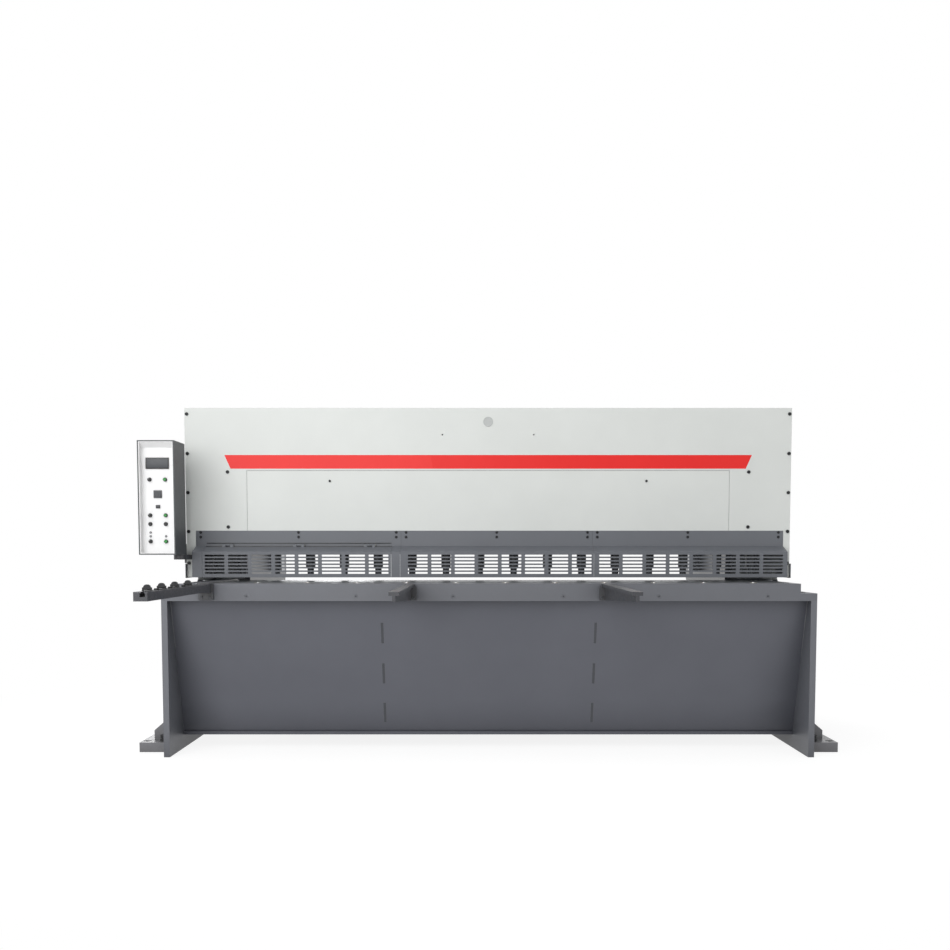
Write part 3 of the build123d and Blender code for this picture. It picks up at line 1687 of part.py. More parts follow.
with BuildPart() as gauge_arms:
    for x_low, x_high in both_sides(arm_inner, arm_outer):
        side_plate(
            [
                (ram_rear, gauge_arm_high),
                (ram_rear, hold_beam_low),
                (ram_rear + gauge_arm_shoulder, hold_beam_low),
                (ram_rear + gauge_arm_waist, gauge_arm_low),
                (gauge_arm_rear - gauge_arm_chin, gauge_arm_low),
                (gauge_arm_rear, gauge_arm_low + gauge_arm_chin),
                (gauge_arm_rear, gauge_arm_high),
            ],
            x_low,
            x_high,
        )
    for x_low, x_high in both_sides(arm_inner - rail_depth, arm_inner):
        block(x_low, x_high, rail_front, housing_front, rail_low, rail_high)
    for x_low, x_high in both_sides(screw_x - bearing_inner, arm_inner):
        block(
            x_low, x_high, ram_rear, ram_rear + bearing_depth,
            screw_z - bearing_half_height, screw_z + bearing_half_height,
        )
    for x_low, x_high in both_sides(arm_inner - housing_width, arm_inner):
        block(
            x_low, x_high, housing_front, housing_front + housing_depth, housing_low,
            housing_high,
        )
    for side in (-1, 1):
        round_bar(
            side * screw_x, (screw_front + screw_rear) / 2, screw_z,
            screw_radius + bearing_gap, screw_rear - screw_front + 2, "Y", Mode.SUBTRACT,
        )
    round_bar(
        0, shaft_distance, shaft_z, shaft_radius + bearing_gap,
        2 * (arm_inner - housing_width + shaft_socket + 2), "X", Mode.SUBTRACT,
    )
gauge_arms.part.label = "gauge_arms"
export_step(gauge_arms.part, "parts/gauge_arms.step")

for side, name in ((-1, "gauge_screw_left"), (1, "gauge_screw_right")):
    with BuildPart() as gauge_screw:
        length = screw_rear - screw_front
        round_bar(
            side * screw_x, (screw_front + screw_rear) / 2, screw_z, screw_radius, length, "Y"
        )
    gauge_screw.part.label = name
    export_step(gauge_screw.part, f"parts/{name}.step")

with BuildPart() as cross_shaft:
    round_bar(
        0, shaft_distance, shaft_z, shaft_radius, 2 * (arm_inner - housing_width + shaft_socket), "X"
    )
cross_shaft.part.label = "cross_shaft"
export_step(cross_shaft.part, "parts/cross_shaft.step")

motor_side = 80.0
motor_drop = 40.0
gauge_motor_length = 160.0
with BuildPart() as gauge_motor:
    motor_front = housing_front + housing_depth
    x_low = -arm_inner
    block(
        x_low, x_low + motor_side, motor_front, motor_front + gauge_motor_length,
        screw_z - motor_drop, screw_z - motor_drop + motor_side,
    )
gauge_motor.part.label = "gauge_motor"
export_step(gauge_motor.part, "parts/gauge_motor.step")

with BuildPart() as gauge_carriages:
    front, rear = gauge_rest - carriage_ahead, gauge_rest + carriage_behind
    for x_low, x_high in both_sides(carriage_inner, carriage_outer):
        block(x_low, x_high, front, rear, carriage_low, gauge_arm_high)
    groove_inner = arm_inner - rail_depth - running_gap
    for x_low, x_high in both_sides(groove_inner, carriage_outer + 1):
        block(
            x_low, x_high, front - 1, rear + 1, rail_low - running_gap,
            rail_high + running_gap, Mode.SUBTRACT,
        )
    for side in (-1, 1):
        round_bar(
            side * screw_x, gauge_rest, screw_z, screw_radius + running_gap,
            (rear - front) * 2, "Y", Mode.SUBTRACT,
        )
        round_bar(
            side * carriage_inner, gauge_rest, pivot_z, journal_radius + bearing_gap,
            2 * (journal_length + 2), "X", Mode.SUBTRACT,
        )
gauge_carriages.part.label = "gauge_carriages"
export_step(gauge_carriages.part, "parts/gauge_carriages.step")

bar_end_gap = 25.0
gauge_leg_plate = 20.0
gauge_leg_front = 28.0
gauge_leg_rear = 22.0
gauge_leg_step = 165.0
gauge_leg_pitch = 600.0
bar_half = carriage_inner - bar_end_gap
leg_reach = int((bar_half - gauge_leg_plate) / gauge_leg_pitch)
leg_places = [gauge_leg_pitch * index for index in range(-leg_reach, leg_reach + 1)]


def swung(x):
    # A plane across the bar at x, turned from the working position to the folded one.
    turned = (0, math.cos(math.radians(fold_angle)), math.sin(math.radians(fold_angle)))
    return Plane(origin=(x, back(gauge_rest), pivot_z), x_dir=turned, z_dir=(1, 0, 0))


with BuildPart() as gauge_bar:
    tube_half = carriage_inner - running_gap
    round_bar(0, gauge_rest, pivot_z, tube_radius, 2 * tube_half, "X")
    round_bar(
        0, gauge_rest, pivot_z, journal_radius, 2 * (carriage_inner + journal_length), "X"
    )
    bar_drop = pivot_z - gauge_bar_low
    for x in leg_places:
        with BuildSketch(swung(x - gauge_leg_plate / 2)):
            with BuildLine():
                Polyline(
                    (-gauge_leg_front, 0),
                    (gauge_leg_rear, 0),
                    (gauge_leg_rear, -bar_drop),
                    (gauge_plate - gauge_reach, -bar_drop),
                    (gauge_plate - gauge_reach, -gauge_leg_step),
                    (-gauge_leg_front, -gauge_leg_step),
                    close=True,
                )
            make_face()
        extrude(amount=gauge_leg_plate)
    with BuildSketch(swung(-bar_half)):
        with Locations((gauge_plate / 2 - gauge_reach, gauge_bar_height / 2 - bar_drop)):
            Rectangle(gauge_plate, gauge_bar_height)
    extrude(amount=2 * bar_half)
gauge_bar.part.label = "gauge_bar"
export_step(gauge_bar.part, "parts/gauge_bar.step")
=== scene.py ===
import math

import bmesh
import bpy
from mathutils import Matrix, Vector


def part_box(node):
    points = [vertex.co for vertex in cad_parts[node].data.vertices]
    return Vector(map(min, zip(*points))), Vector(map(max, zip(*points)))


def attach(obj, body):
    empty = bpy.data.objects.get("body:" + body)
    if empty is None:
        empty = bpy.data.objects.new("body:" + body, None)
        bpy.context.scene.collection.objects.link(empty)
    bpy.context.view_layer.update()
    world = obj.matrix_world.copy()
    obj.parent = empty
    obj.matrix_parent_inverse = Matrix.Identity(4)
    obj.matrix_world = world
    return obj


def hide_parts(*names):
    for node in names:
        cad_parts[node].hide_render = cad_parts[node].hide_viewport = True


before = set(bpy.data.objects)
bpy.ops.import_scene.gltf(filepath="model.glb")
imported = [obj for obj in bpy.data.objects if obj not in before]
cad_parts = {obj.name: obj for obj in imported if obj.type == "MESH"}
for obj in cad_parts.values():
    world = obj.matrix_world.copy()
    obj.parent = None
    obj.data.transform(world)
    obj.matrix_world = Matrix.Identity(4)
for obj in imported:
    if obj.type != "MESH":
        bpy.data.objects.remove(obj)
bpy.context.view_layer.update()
mm = 0.001
print("frame loaded with", len(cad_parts), "parts")


def toLinear(code):  # sRGB hex to the linear colour that shaders use
    parts = [int(code[i:i + 2], 16) / 255 for i in (0, 2, 4)]
    return [c / 12.92 if c <= 0.04045 else ((c + 0.055) / 1.055) ** 2.4 for c in parts] + [1.0]


def addNode(tree, kind, inputs=None, **settings):  # one node, with its settings, values and links
    node = tree.nodes.new(kind)
    for name, value in settings.items():
        setattr(node, name, value)
    for key, value in (inputs or {}).items():
        if isinstance(value, bpy.types.NodeSocket):
            tree.links.new(value, node.inputs[key])
        else:
            node.inputs[key].default_value = value
    return node


# What every finish shares: clouds and grain in mm, how much each tints the colour, the span of
# the roughness, the relief, the painted shade in corners and the wear and painted highlight along edges
plainLook = {
    "cloudMm": 240, "cloudTint": 0.35, "grainMm": 3.0, "grainTint": 0.2, "stretch": (1, 1, 1),
    "rough": (0.38, 0.5), "relief": 0.12, "reliefMm": 0.6, "edgeMm": 1.4, "edgeTint": 0.3,
    "edgeColour": "C9CACB", "cornerMm": 70, "cornerTint": 0.35, "cornerColour": "4A4A48",
    "sockets": {},
}
# Polyester powder coat on sheet steel: fine orange peel, even colour, a satin shine
powderCoat = {"sockets": {"Specular IOR Level": 0.45}}
# Sprayed enamel over filled plate: longer waves and a harder shine than powder
enamel = {"cloudMm": 180, "grainMm": 9.0, "rough": (0.3, 0.44), "relief": 0.18, "reliefMm": 1.2,
          "edgeMm": 1.8, "sockets": {"Coat Weight": 0.15, "Coat Roughness": 0.2}}
# Surface-ground tool steel: hair lines along the grinding, faint clouds of oil
groundSteel = {"cloudMm": 90, "cloudTint": 0.6, "grainMm": 16.0, "grainTint": 0.45, "stretch": (1, 14, 14),
               "rough": (0.26, 0.42), "reliefMm": 0.3, "edgeMm": 0.8, "cornerTint": 0.5,
               "sockets": {"Metallic": 1.0}}
# Turned or milled bar: fine tool marks, dull spots of oil
turnedSteel = {"cloudMm": 14, "cloudTint": 0.6, "grainMm": 1.5, "rough": (0.22, 0.4), "reliefMm": 0.2,
               "edgeMm": 0.5, "sockets": {"Metallic": 1.0}}
# Zinc plate passivated yellow: patches of straw colour over bright grey
zincPlate = {**turnedSteel, "cloudMm": 22, "cloudTint": 0.8}
# Hard chrome on a ground rod: a mirror with the faintest haze
hardChrome = {**turnedSteel, "grainTint": 0.05, "cloudTint": 0.15, "rough": (0.08, 0.14), "relief": 0.03}
# Black oxide on screw steel: dull, worn lighter in patches and along edges
blackOxide = {**turnedSteel, "cloudMm": 6, "cloudTint": 0.9, "rough": (0.36, 0.55), "edgeTint": 0.4,
              "edgeColour": "55565A", "sockets": {"Metallic": 0.5}}
# Injection-moulded plastic: even colour, a faint spark-eroded grain
mouldedPlastic = {"cloudMm": 12, "grainMm": 0.9, "grainTint": 0.1, "rough": (0.28, 0.4), "reliefMm": 0.2,
                  "edgeMm": 0.5, "edgeTint": 0.1, "cornerTint": 0.2, "sockets": {"IOR": 1.5}}
# Self-adhesive vinyl film: a smooth skin with a low, even shine
vinylFilm = {**mouldedPlastic, "cloudMm": 300, "cloudTint": 0.5, "grainMm": 1.6, "edgeTint": 0.0,
             "cornerTint": 0.0, "rough": (0.34, 0.44), "sockets": {"Specular IOR Level": 0.3}}
# Weld bead under paint: coarse ripples
paintedBead = {**enamel, "grainMm": 2.0, "relief": 0.5, "edgeTint": 0.0}
# Toughened display glass over a dark layer: almost flat, a clear shine, a few finger marks
darkGlass = {**mouldedPlastic, "cloudMm": 30, "cloudTint": 0.3, "grainMm": 18, "rough": (0.3, 0.42),
             "relief": 0.02, "edgeTint": 0.0, "cornerTint": 0.0}


def finish(name, base, shade, look, **changes):
    # The colour drifts to its shade in soft clouds and in the grain. The grain also moves the
    # gloss and the relief, corners are darkened as painted shade, and edges are rounded and tinted as some
    # wear and partly a painted highlight.
    look = {**plainLook, **look, **changes}
    material = bpy.data.materials.new(name)
    material.use_nodes = True
    tree = material.node_tree
    tree.nodes.clear()
    place = addNode(tree, "ShaderNodeTexCoord").outputs["Object"]
    stretched = addNode(tree, "ShaderNodeMapping", {"Vector": place, "Scale": look["stretch"]})
    cloud = addNode(tree, "ShaderNodeTexNoise", {
        "Vector": place, "Scale": 1 / (look["cloudMm"] * mm), "Detail": 3.0})
    grain = addNode(tree, "ShaderNodeTexNoise", {
        "Vector": stretched.outputs[0], "Scale": 1 / (look["grainMm"] * mm), "Detail": 4.0})
    # The rounded normal against the flat one finds the edges, which are tinted as some wear and partly a
    # painted highlight
    rounded = addNode(tree, "ShaderNodeBevel", {"Radius": look["edgeMm"] * mm}, samples=4)
    flat = addNode(tree, "ShaderNodeNewGeometry")
    turn = addNode(tree, "ShaderNodeVectorMath", {0: rounded.outputs[0], 1: flat.outputs["Normal"]},
                   operation="DOT_PRODUCT")
    # Ambient occlusion finds corners and recesses, which are darkened towards a dark colour: painted shade
    corner = addNode(tree, "ShaderNodeAmbientOcclusion", {"Distance": look["cornerMm"] * mm}, samples=6)
    colour = toLinear(base)
    if "upperColour" in look:
        height = addNode(tree, "ShaderNodeSeparateXYZ", {"Vector": place}).outputs["Z"]
        above = addNode(tree, "ShaderNodeMapRange", {
            "Value": height, "From Min": look["splitHeight"], "From Max": look["splitHeight"] + mm})
        colour = addNode(tree, "ShaderNodeMix", {
            0: above.outputs[0], 6: colour, 7: toLinear(look["upperColour"])}, data_type="RGBA").outputs[2]
    for value, low, high, most, other in (
        (cloud.outputs["Fac"], 0.35, 0.65, look["cloudTint"], shade),
        (grain.outputs["Fac"], 0.35, 0.65, look["grainTint"], shade),
        (corner.outputs["AO"], 0.9, 0.3, look["cornerTint"], look["cornerColour"]),
        (turn.outputs["Value"], 0.999, 0.9, look["edgeTint"], look["edgeColour"]),
    ):
        amount = addNode(tree, "ShaderNodeMapRange", {
            "Value": value, "From Min": low, "From Max": high, "To Min": 0.0, "To Max": most})
        colour = addNode(tree, "ShaderNodeMix", {
            0: amount.outputs[0], 6: colour, 7: toLinear(other)}, data_type="RGBA").outputs[2]
    rough = addNode(tree, "ShaderNodeMapRange", {
        "Value": grain.outputs["Fac"], "From Min": 0.3, "From Max": 0.7,
        "To Min": look["rough"][0], "To Max": look["rough"][1]})
    relief = addNode(tree, "ShaderNodeBump", {
        "Height": grain.outputs["Fac"], "Strength": look["relief"], "Distance": look["reliefMm"] * mm,
        "Normal": rounded.outputs[0]})
    shader = addNode(tree, "ShaderNodeBsdfPrincipled", {
        "Base Color": colour, "Roughness": rough.outputs[0], "Normal": relief.outputs[0],
        **look["sockets"]})
    addNode(tree, "ShaderNodeOutputMaterial", {"Surface": shader.outputs[0]})
    return material


# Every finish below darkens its corners as painted shade and tints its edges as some wear and partly a
# painted highlight
coverGrey = finish("powderCoatLightGrey", "E0E3E0", "D6D9D6", powderCoat, cornerTint=0.15, edgeTint=0.1)
plugGrey = finish("mouldedPlugGrey", "BDC0BF", "B2B5B4", mouldedPlastic)
# The frame grey paints a deep, wide shade into corners and recesses, towards a near-black blue
frameGrey = finish("powderCoatFrameGrey", "696B71", "616368", powderCoat, edgeColour="9A9CA0",
                   cornerMm=260, cornerTint=0.75, cornerColour="1E2028")
# The side frames are sprayed in two tones that meet at the height of the table; a deep painted shade darkens
# their corners
twoTone = finish("powderCoatTwoTone", "696B71", "8C8E92", powderCoat, cloudTint=0.06, grainTint=0.05,
                 edgeColour="9A9CA0", cornerMm=220, cornerTint=0.6, cornerColour="1E2028",
                 upperColour="DCDFDD", splitHeight=0.868)
bodyGrey = finish("powderCoatBodyGrey", "D3D6D4", "C9CCCA", powderCoat, cornerTint=0.5)
# The apron grey paints the same deep shade into its corners
apronGrey = finish("powderCoatApronGrey", "60626A", "585A62", powderCoat, edgeColour="8A8B90",
                   cornerMm=260, cornerTint=0.7, cornerColour="1E2028")
guardGrey = finish("powderCoatGuardGrey", "6A6D73", "62656B", powderCoat, edgeColour="8E9197", cornerTint=0.2)
armGrey = finish("enamelArmGrey", "37383D", "2F3035", enamel, edgeColour="6C6D72")
# Kept this dark partly as painted shade: the hold-down beam behind the guard slots stands for a deep shaded
# void
ramGrey = finish("enamelRamGrey", "303237", "28292D", enamel, edgeColour="55575C")
footGrey = finish("enamelFootGrey", "77777B", "6C6C70", enamel, edgeColour="9C9CA0", cornerTint=0.6)
# Darker than the apron partly to paint the shade of the recessed rib tabs
innerGrey = finish("enamelInnerGrey", "3E4046", "36383E", enamel)
tableSteel = finish("groundTableSteel", "7C7E82", "6A6C70", groundSteel)
bladeSteel = finish("groundToolSteel", "B4B6B9", "999BA0", groundSteel, rough=(0.18, 0.3))
milledSteel = finish("milledSteel", "A9ABAE", "8A8C90", turnedSteel)
darkSteel = finish("oiledDarkSteel", "4A4B4E", "3A3B3E", turnedSteel, rough=(0.3, 0.5))
chromedRod = finish("hardChromeRod", "DADBDD", "C9CACD", hardChrome)
zincSteel = finish("zincPlatedSteel", "B9BBBE", "C2B68E", zincPlate)
pipeSteel = finish("drawnZincTube", "A8ABB0", "8F9297", zincPlate, edgeMm=0.3)
cylinderBlack = finish("enamelBlack", "2B2D30", "232427", enamel, edgeColour="4E5054")
tankBlue = finish("enamelTankBlueGrey", "5A6570", "505B66", enamel, edgeColour="87919B")
motorBlue = finish("enamelMotorBlue", "3E5468", "36495B", enamel, edgeColour="6F8193")
cabinetGrey = finish("powderCoatCabinetGrey", "CFD1D0", "C3C5C4", powderCoat)
boxGrey = finish("powderCoatBoxGrey", "4B4F52", "434749", powderCoat, edgeColour="7B7F82", edgeMm=2.0,
                 edgeTint=0.6)
panelWhite = finish("powderCoatWhite", "F6F6F6", "EEEEEF", powderCoat, cornerTint=0.12, edgeTint=0.0)
stripeRed = finish("vinylRed", "EE2B28", "E82825", vinylFilm)
stripeRedLight = finish("vinylLightRed", "F23431", "EC312E", vinylFilm)
tapeSilver = finish("anodisedTape", "9C9EA1", "8C8E91", turnedSteel, rough=(0.3, 0.42))
blackPlastic = finish("blackPlastic", "1C1D1E", "262728", mouldedPlastic)
keyPlastic = finish("darkGreyPlastic", "3F4145", "36383C", mouldedPlastic)
greenPlastic = finish("greenPlastic", "2A8A3A", "227A31", mouldedPlastic, rough=(0.2, 0.3))
lampPlastic = finish("smokedLens", "8A8C8E", "7C7E80", mouldedPlastic, rough=(0.15, 0.25))
blackSteel = finish("blackOxideSteel", "17181A", "26272A", blackOxide)
screenGlass = finish("displayGlass", "3C3F43", "34373B", darkGlass)
oilGlass = finish("sightGlassOil", "B07A2A", "8F5E1B", darkGlass, rough=(0.05, 0.12))
beadGrey = finish("weldBeadGrey", "6B6D71", "5F6165", paintedBead)

finishes = {
    coverGrey: ["front_cover", "access_panel"],
    twoTone: ["side_frame_left", "side_frame_right", "rear_ties"],
    bodyGrey: ["upper_crossbeam"],
    frameGrey: ["table_front_bar"],
    apronGrey: ["front_apron", "sheet_chute"],
    guardGrey: ["fixed_guards", "guard_rail", "guard_flap"],
    armGrey: ["squaring_arm", "support_arms", "swivel_bracket"],
    ramGrey: ["blade_beam", "gauge_arms", "hold_down_beam", "bed_beam"],
    innerGrey: ["table_ribs"],
    footGrey: ["floor_feet"],
    tableSteel: ["table_top"],
    bladeSteel: ["lower_blade", "upper_blade"],
    milledSteel: ["ram_gibs", "gauge_carriages", "gauge_bar", "cross_shaft"],
    darkSteel: ["hold_down_feet"],
    chromedRod: ["piston_rods"],
    pipeSteel: ["oil_pipes"],
    cylinderBlack: ["hold_down_cylinders", "valve_block"],
    blackSteel: ["flip_stop_bases", "flip_stop_1", "flip_stop_2", "flip_stop_3", "flip_stop_4"],
    tankBlue: ["oil_tank"],
    motorBlue: ["pump_motor", "gauge_motor"],
    cabinetGrey: ["electrical_cabinet"],
    boxGrey: ["control_box"],
    panelWhite: ["control_panel"],
}
for material, nodes in finishes.items():
    for node in nodes:
        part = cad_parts[node]
        part.data.materials.clear()
        part.data.materials.append(material)
print("finishes on", sum(len(nodes) for nodes in finishes.values()), "parts")


def keep(name, data, body, smoothAngle=35, replaced=()):
    # A finished mesh becomes a piece that rides on a body.
    piece = bpy.data.objects.new(name, data)
    bpy.context.scene.collection.objects.link(piece)
    data.shade_smooth()
    data.set_sharp_from_angle(angle=math.radians(smoothAngle))
    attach(piece, body)
    if replaced:
        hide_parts(*replaced)
    return piece


def keepShape(name, shape, materials, body, smoothAngle=35, replaced=()):
    bmesh.ops.remove_doubles(shape, verts=shape.verts, dist=1e-6)
    bmesh.ops.recalc_face_normals(shape, faces=shape.faces)
    data = bpy.data.meshes.new(name)
    shape.to_mesh(data)
    shape.free()
    for material in materials:
        data.materials.append(material)
    return keep(name, data, body, smoothAngle, replaced)


def islands(name):  # the boxes of a part's separate solids, from left to right
    shape = bmesh.new()
    shape.from_mesh(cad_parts[name].data)
    bmesh.ops.remove_doubles(shape, verts=shape.verts, dist=1e-5)
    waiting, boxes = set(shape.verts), []
    while waiting:
        stack, group = [waiting.pop()], []
        while stack:
            here = stack.pop()
            group.append(here.co.copy())
            for edge in here.link_edges:
                there = edge.other_vert(here)
                if there in waiting:
                    waiting.discard(there)
                    stack.append(there)
        boxes.append((Vector(map(min, zip(*group))), Vector(map(max, zip(*group)))))
    shape.free()
    return sorted(boxes, key=lambda box: [round(value, 4) for value in (*box[0], *box[1])])


def addPrism(shape, outline, front, rear, index=0):
    # A closed plate: an outline of (x, z) between two values of y.
    near = [shape.verts.new((x, front, z)) for x, z in outline]
    far = [shape.verts.new((x, rear, z)) for x, z in outline]
    faces = [shape.faces.new(near), shape.faces.new(far[::-1])]
    for i in range(len(outline)):
        k = (i + 1) % len(outline)
        faces.append(shape.faces.new((near[i], far[i], far[k], near[k])))
    for face in faces:
        face.material_index = index


def addBlock(shape, low, high, edge=1.0, index=0):
    # A block between two corners, with its edges rounded by so many mm.
    before = set(shape.faces)
    corners = bmesh.ops.create_cube(shape, size=1.0)["verts"]
    for corner in corners:
        corner.co = Vector([low[i] + (corner.co[i] + 0.5) * (high[i] - low[i]) for i in range(3)])
    edges = list({edge for corner in corners for edge in corner.link_edges})
    bmesh.ops.bevel(shape, geom=edges, offset=edge * mm, segments=2, profile=0.5, affect="EDGES")
    for face in set(shape.faces) - before:
        face.material_index = index


def addTurned(shape, profile, base, axis, steps=28, index=0, flutes=0, depth=0.0, ring=False):
    # A turned shape: (radius, height) in mm swept round an axis from a base point, fluted or plain.
    turn = Vector((0, 0, 1)).rotation_difference(Vector(axis)).to_matrix()
    rows = []
    for radius, height in profile:
        if radius < 1e-6:
            rows.append([shape.verts.new(Vector(base) + turn @ Vector((0, 0, height * mm)))])
            continue
        row = []
        for step in range(steps):
            angle = math.tau * step / steps
            out = (radius - depth * (0.5 + 0.5 * math.cos(flutes * angle)) if flutes else radius) * mm
            point = Vector((out * math.cos(angle), out * math.sin(angle), height * mm))
            row.append(shape.verts.new(Vector(base) + turn @ point))
        rows.append(row)
    pairs = list(zip(rows, rows[1:])) + ([(rows[-1], rows[0])] if ring else [])
    for low, high in pairs:
        for step in range(steps):
            after = (step + 1) % steps
            corners = [low[step % len(low)], low[after % len(low)], high[after % len(high)],
                       high[step % len(high)]]
            corners = list(dict.fromkeys(corners))
            if len(corners) > 2:
                shape.faces.new(corners).material_index = index


def startGrower(name, **inputs):
    # A geometry tree with named inputs, each with the type and default of its value.
    tree = bpy.data.node_groups.new(name, "GeometryNodeTree")
    tree.interface.new_socket("Geometry", in_out="INPUT", socket_type="NodeSocketGeometry")
    tree.interface.new_socket("Geometry", in_out="OUTPUT", socket_type="NodeSocketGeometry")
    for label, value in inputs.items():
        kind = {int: "Int", float: "Float", tuple: "Vector"}.get(type(value), "Material")
        socket = tree.interface.new_socket(label, in_out="INPUT", socket_type="NodeSocket" + kind)
        if value is not None:
            socket.default_value = value
    return tree, addNode(tree, "NodeGroupInput").outputs


def finishGrower(tree, geometry, given):  # real geometry with its material, as the export needs
    real = addNode(tree, "GeometryNodeRealizeInstances", {"Geometry": geometry})
    painted = addNode(tree, "GeometryNodeSetMaterial", {
        "Geometry": real.outputs[0], "Material": given["Material"]})
    addNode(tree, "NodeGroupOutput", {"Geometry": painted.outputs[0]})
    return tree


def grow(name, tree, places, body, slotName, edges=(), smoothAngle=35, replaced=(), **values):
    # Runs a tree on a set of places and keeps the result as a plain mesh.
    data = bpy.data.meshes.new(name + "Places")
    data.from_pydata([tuple(place) for place in places], edges, [])
    seed = bpy.data.objects.new(name + "Seed", data)
    bpy.context.scene.collection.objects.link(seed)
    grower = seed.modifiers.new("grow", "NODES")
    grower.node_group = tree
    sockets = {item.name: item.identifier for item in tree.interface.items_tree if item.in_out == "INPUT"}
    for label, value in values.items():
        grower[sockets[label]] = value
    depsgraph = bpy.context.evaluated_depsgraph_get()
    grown = bpy.data.meshes.new_from_object(seed.evaluated_get(depsgraph), depsgraph=depsgraph)
    seed.modifiers.remove(grower)
    bpy.data.objects.remove(seed)
    grown.name = name
    return keep(name, grown, body, smoothAngle, replaced)


def buildScrewTree():
    # A head on each place: a cylinder or hexagon with a crowned rim and a socket sunk into it.
    tree, given = startGrower("screwHeads", Sides=24, Radius=0.008, Height=0.006, Crown=0.001, Rim=0.84,
                              Socket=0.5, Depth=0.003, Facing=(0.0, 0.0, 0.0), Material=None)
    head = addNode(tree, "GeometryNodeMeshCylinder", {
        "Vertices": given["Sides"], "Radius": given["Radius"], "Depth": given["Height"]})
    half = addNode(tree, "ShaderNodeMath", {0: given["Height"], 1: 0.5}, operation="MULTIPLY")
    lift = addNode(tree, "ShaderNodeCombineXYZ", {"Z": half.outputs[0]})
    seated = addNode(tree, "GeometryNodeTransform", {
        "Geometry": head.outputs["Mesh"], "Translation": lift.outputs[0]})
    crown = addNode(tree, "GeometryNodeExtrudeMesh", {
        "Mesh": seated.outputs[0], "Selection": head.outputs["Top"], "Offset Scale": given["Crown"]})
    narrow = addNode(tree, "GeometryNodeScaleElements", {
        "Geometry": crown.outputs["Mesh"], "Selection": crown.outputs["Top"], "Scale": given["Rim"]})
    inset = addNode(tree, "GeometryNodeExtrudeMesh", {
        "Mesh": narrow.outputs[0], "Selection": crown.outputs["Top"], "Offset Scale": 0.0})
    socket = addNode(tree, "GeometryNodeScaleElements", {
        "Geometry": inset.outputs["Mesh"], "Selection": inset.outputs["Top"], "Scale": given["Socket"]})
    down = addNode(tree, "ShaderNodeMath", {0: given["Depth"], 1: -1.0}, operation="MULTIPLY")
    sunk = addNode(tree, "GeometryNodeExtrudeMesh", {
        "Mesh": socket.outputs[0], "Selection": inset.outputs["Top"], "Offset Scale": down.outputs[0]})
    placed = addNode(tree, "GeometryNodeInstanceOnPoints", {
        "Points": given["Geometry"], "Instance": sunk.outputs["Mesh"], "Rotation": given["Facing"]})
    return finishGrower(tree, placed.outputs[0], given)


def buildPadTree():
    # A small raised pad on each place: a block whose top face is drawn in.
    tree, given = startGrower("taperedPads", Size=(0.01, 0.01, 0.002), Taper=0.8,
                              Facing=(0.0, 0.0, 0.0), Material=None)
    block = addNode(tree, "GeometryNodeMeshCube", {"Size": given["Size"]})
    size = addNode(tree, "ShaderNodeSeparateXYZ", {"Vector": given["Size"]})
    half = addNode(tree, "ShaderNodeMath", {0: size.outputs["Z"], 1: 0.5}, operation="MULTIPLY")
    lift = addNode(tree, "ShaderNodeCombineXYZ", {"Z": half.outputs[0]})
    seated = addNode(tree, "GeometryNodeTransform", {
        "Geometry": block.outputs["Mesh"], "Translation": lift.outputs[0]})
    facing = addNode(tree, "ShaderNodeSeparateXYZ", {
        "Vector": addNode(tree, "GeometryNodeInputNormal").outputs[0]})
    upper = addNode(tree, "ShaderNodeMath", {0: facing.outputs["Z"], 1: 0.5}, operation="GREATER_THAN")
    drawn = addNode(tree, "GeometryNodeScaleElements", {
        "Geometry": seated.outputs[0], "Selection": upper.outputs[0], "Scale": given["Taper"]})
    placed = addNode(tree, "GeometryNodeInstanceOnPoints", {
        "Points": given["Geometry"], "Instance": drawn.outputs[0], "Rotation": given["Facing"]})
    return finishGrower(tree, placed.outputs[0], given)


def buildBallTree():
    # A ball on each place.
    tree, given = startGrower("balls", Radius=0.01, Material=None)
    ball = addNode(tree, "GeometryNodeMeshUVSphere", {"Segments": 28, "Rings": 14, "Radius": given["Radius"]})
    placed = addNode(tree, "GeometryNodeInstanceOnPoints", {
        "Points": given["Geometry"], "Instance": ball.outputs["Mesh"]})
    return finishGrower(tree, placed.outputs[0], given)


def buildThreadTree():
    # A screw on each place: a root bar with a round ridge wound along it.
    tree, given = startGrower("threads", Root=0.01, Ridge=0.001, Pitch=0.01, Length=1.0,
                              Facing=(0.0, 0.0, 0.0), Material=None)
    turns = addNode(tree, "ShaderNodeMath", {0: given["Length"], 1: given["Pitch"]}, operation="DIVIDE")
    path = addNode(tree, "GeometryNodeCurveSpiral", {
        "Resolution": 14, "Rotations": turns.outputs[0], "Start Radius": given["Root"],
        "End Radius": given["Root"], "Height": given["Length"]})
    section = addNode(tree, "GeometryNodeCurvePrimitiveCircle", {"Resolution": 6, "Radius": given["Ridge"]})
    ridge = addNode(tree, "GeometryNodeCurveToMesh", {
        "Curve": path.outputs[0], "Profile Curve": section.outputs[0], "Fill Caps": True})
    root = addNode(tree, "GeometryNodeMeshCylinder", {
        "Vertices": 28, "Radius": given["Root"], "Depth": given["Length"]})
    half = addNode(tree, "ShaderNodeMath", {0: given["Length"], 1: 0.5}, operation="MULTIPLY")
    lift = addNode(tree, "ShaderNodeCombineXYZ", {"Z": half.outputs[0]})
    seated = addNode(tree, "GeometryNodeTransform", {
        "Geometry": root.outputs["Mesh"], "Translation": lift.outputs[0]})
    both = addNode(tree, "GeometryNodeJoinGeometry")
    for part in (ridge.outputs[0], seated.outputs[0]):
        tree.links.new(part, both.inputs[0])
    placed = addNode(tree, "GeometryNodeInstanceOnPoints", {
        "Points": given["Geometry"], "Instance": both.outputs[0], "Rotation": given["Facing"]})
    return finishGrower(tree, placed.outputs[0], given)


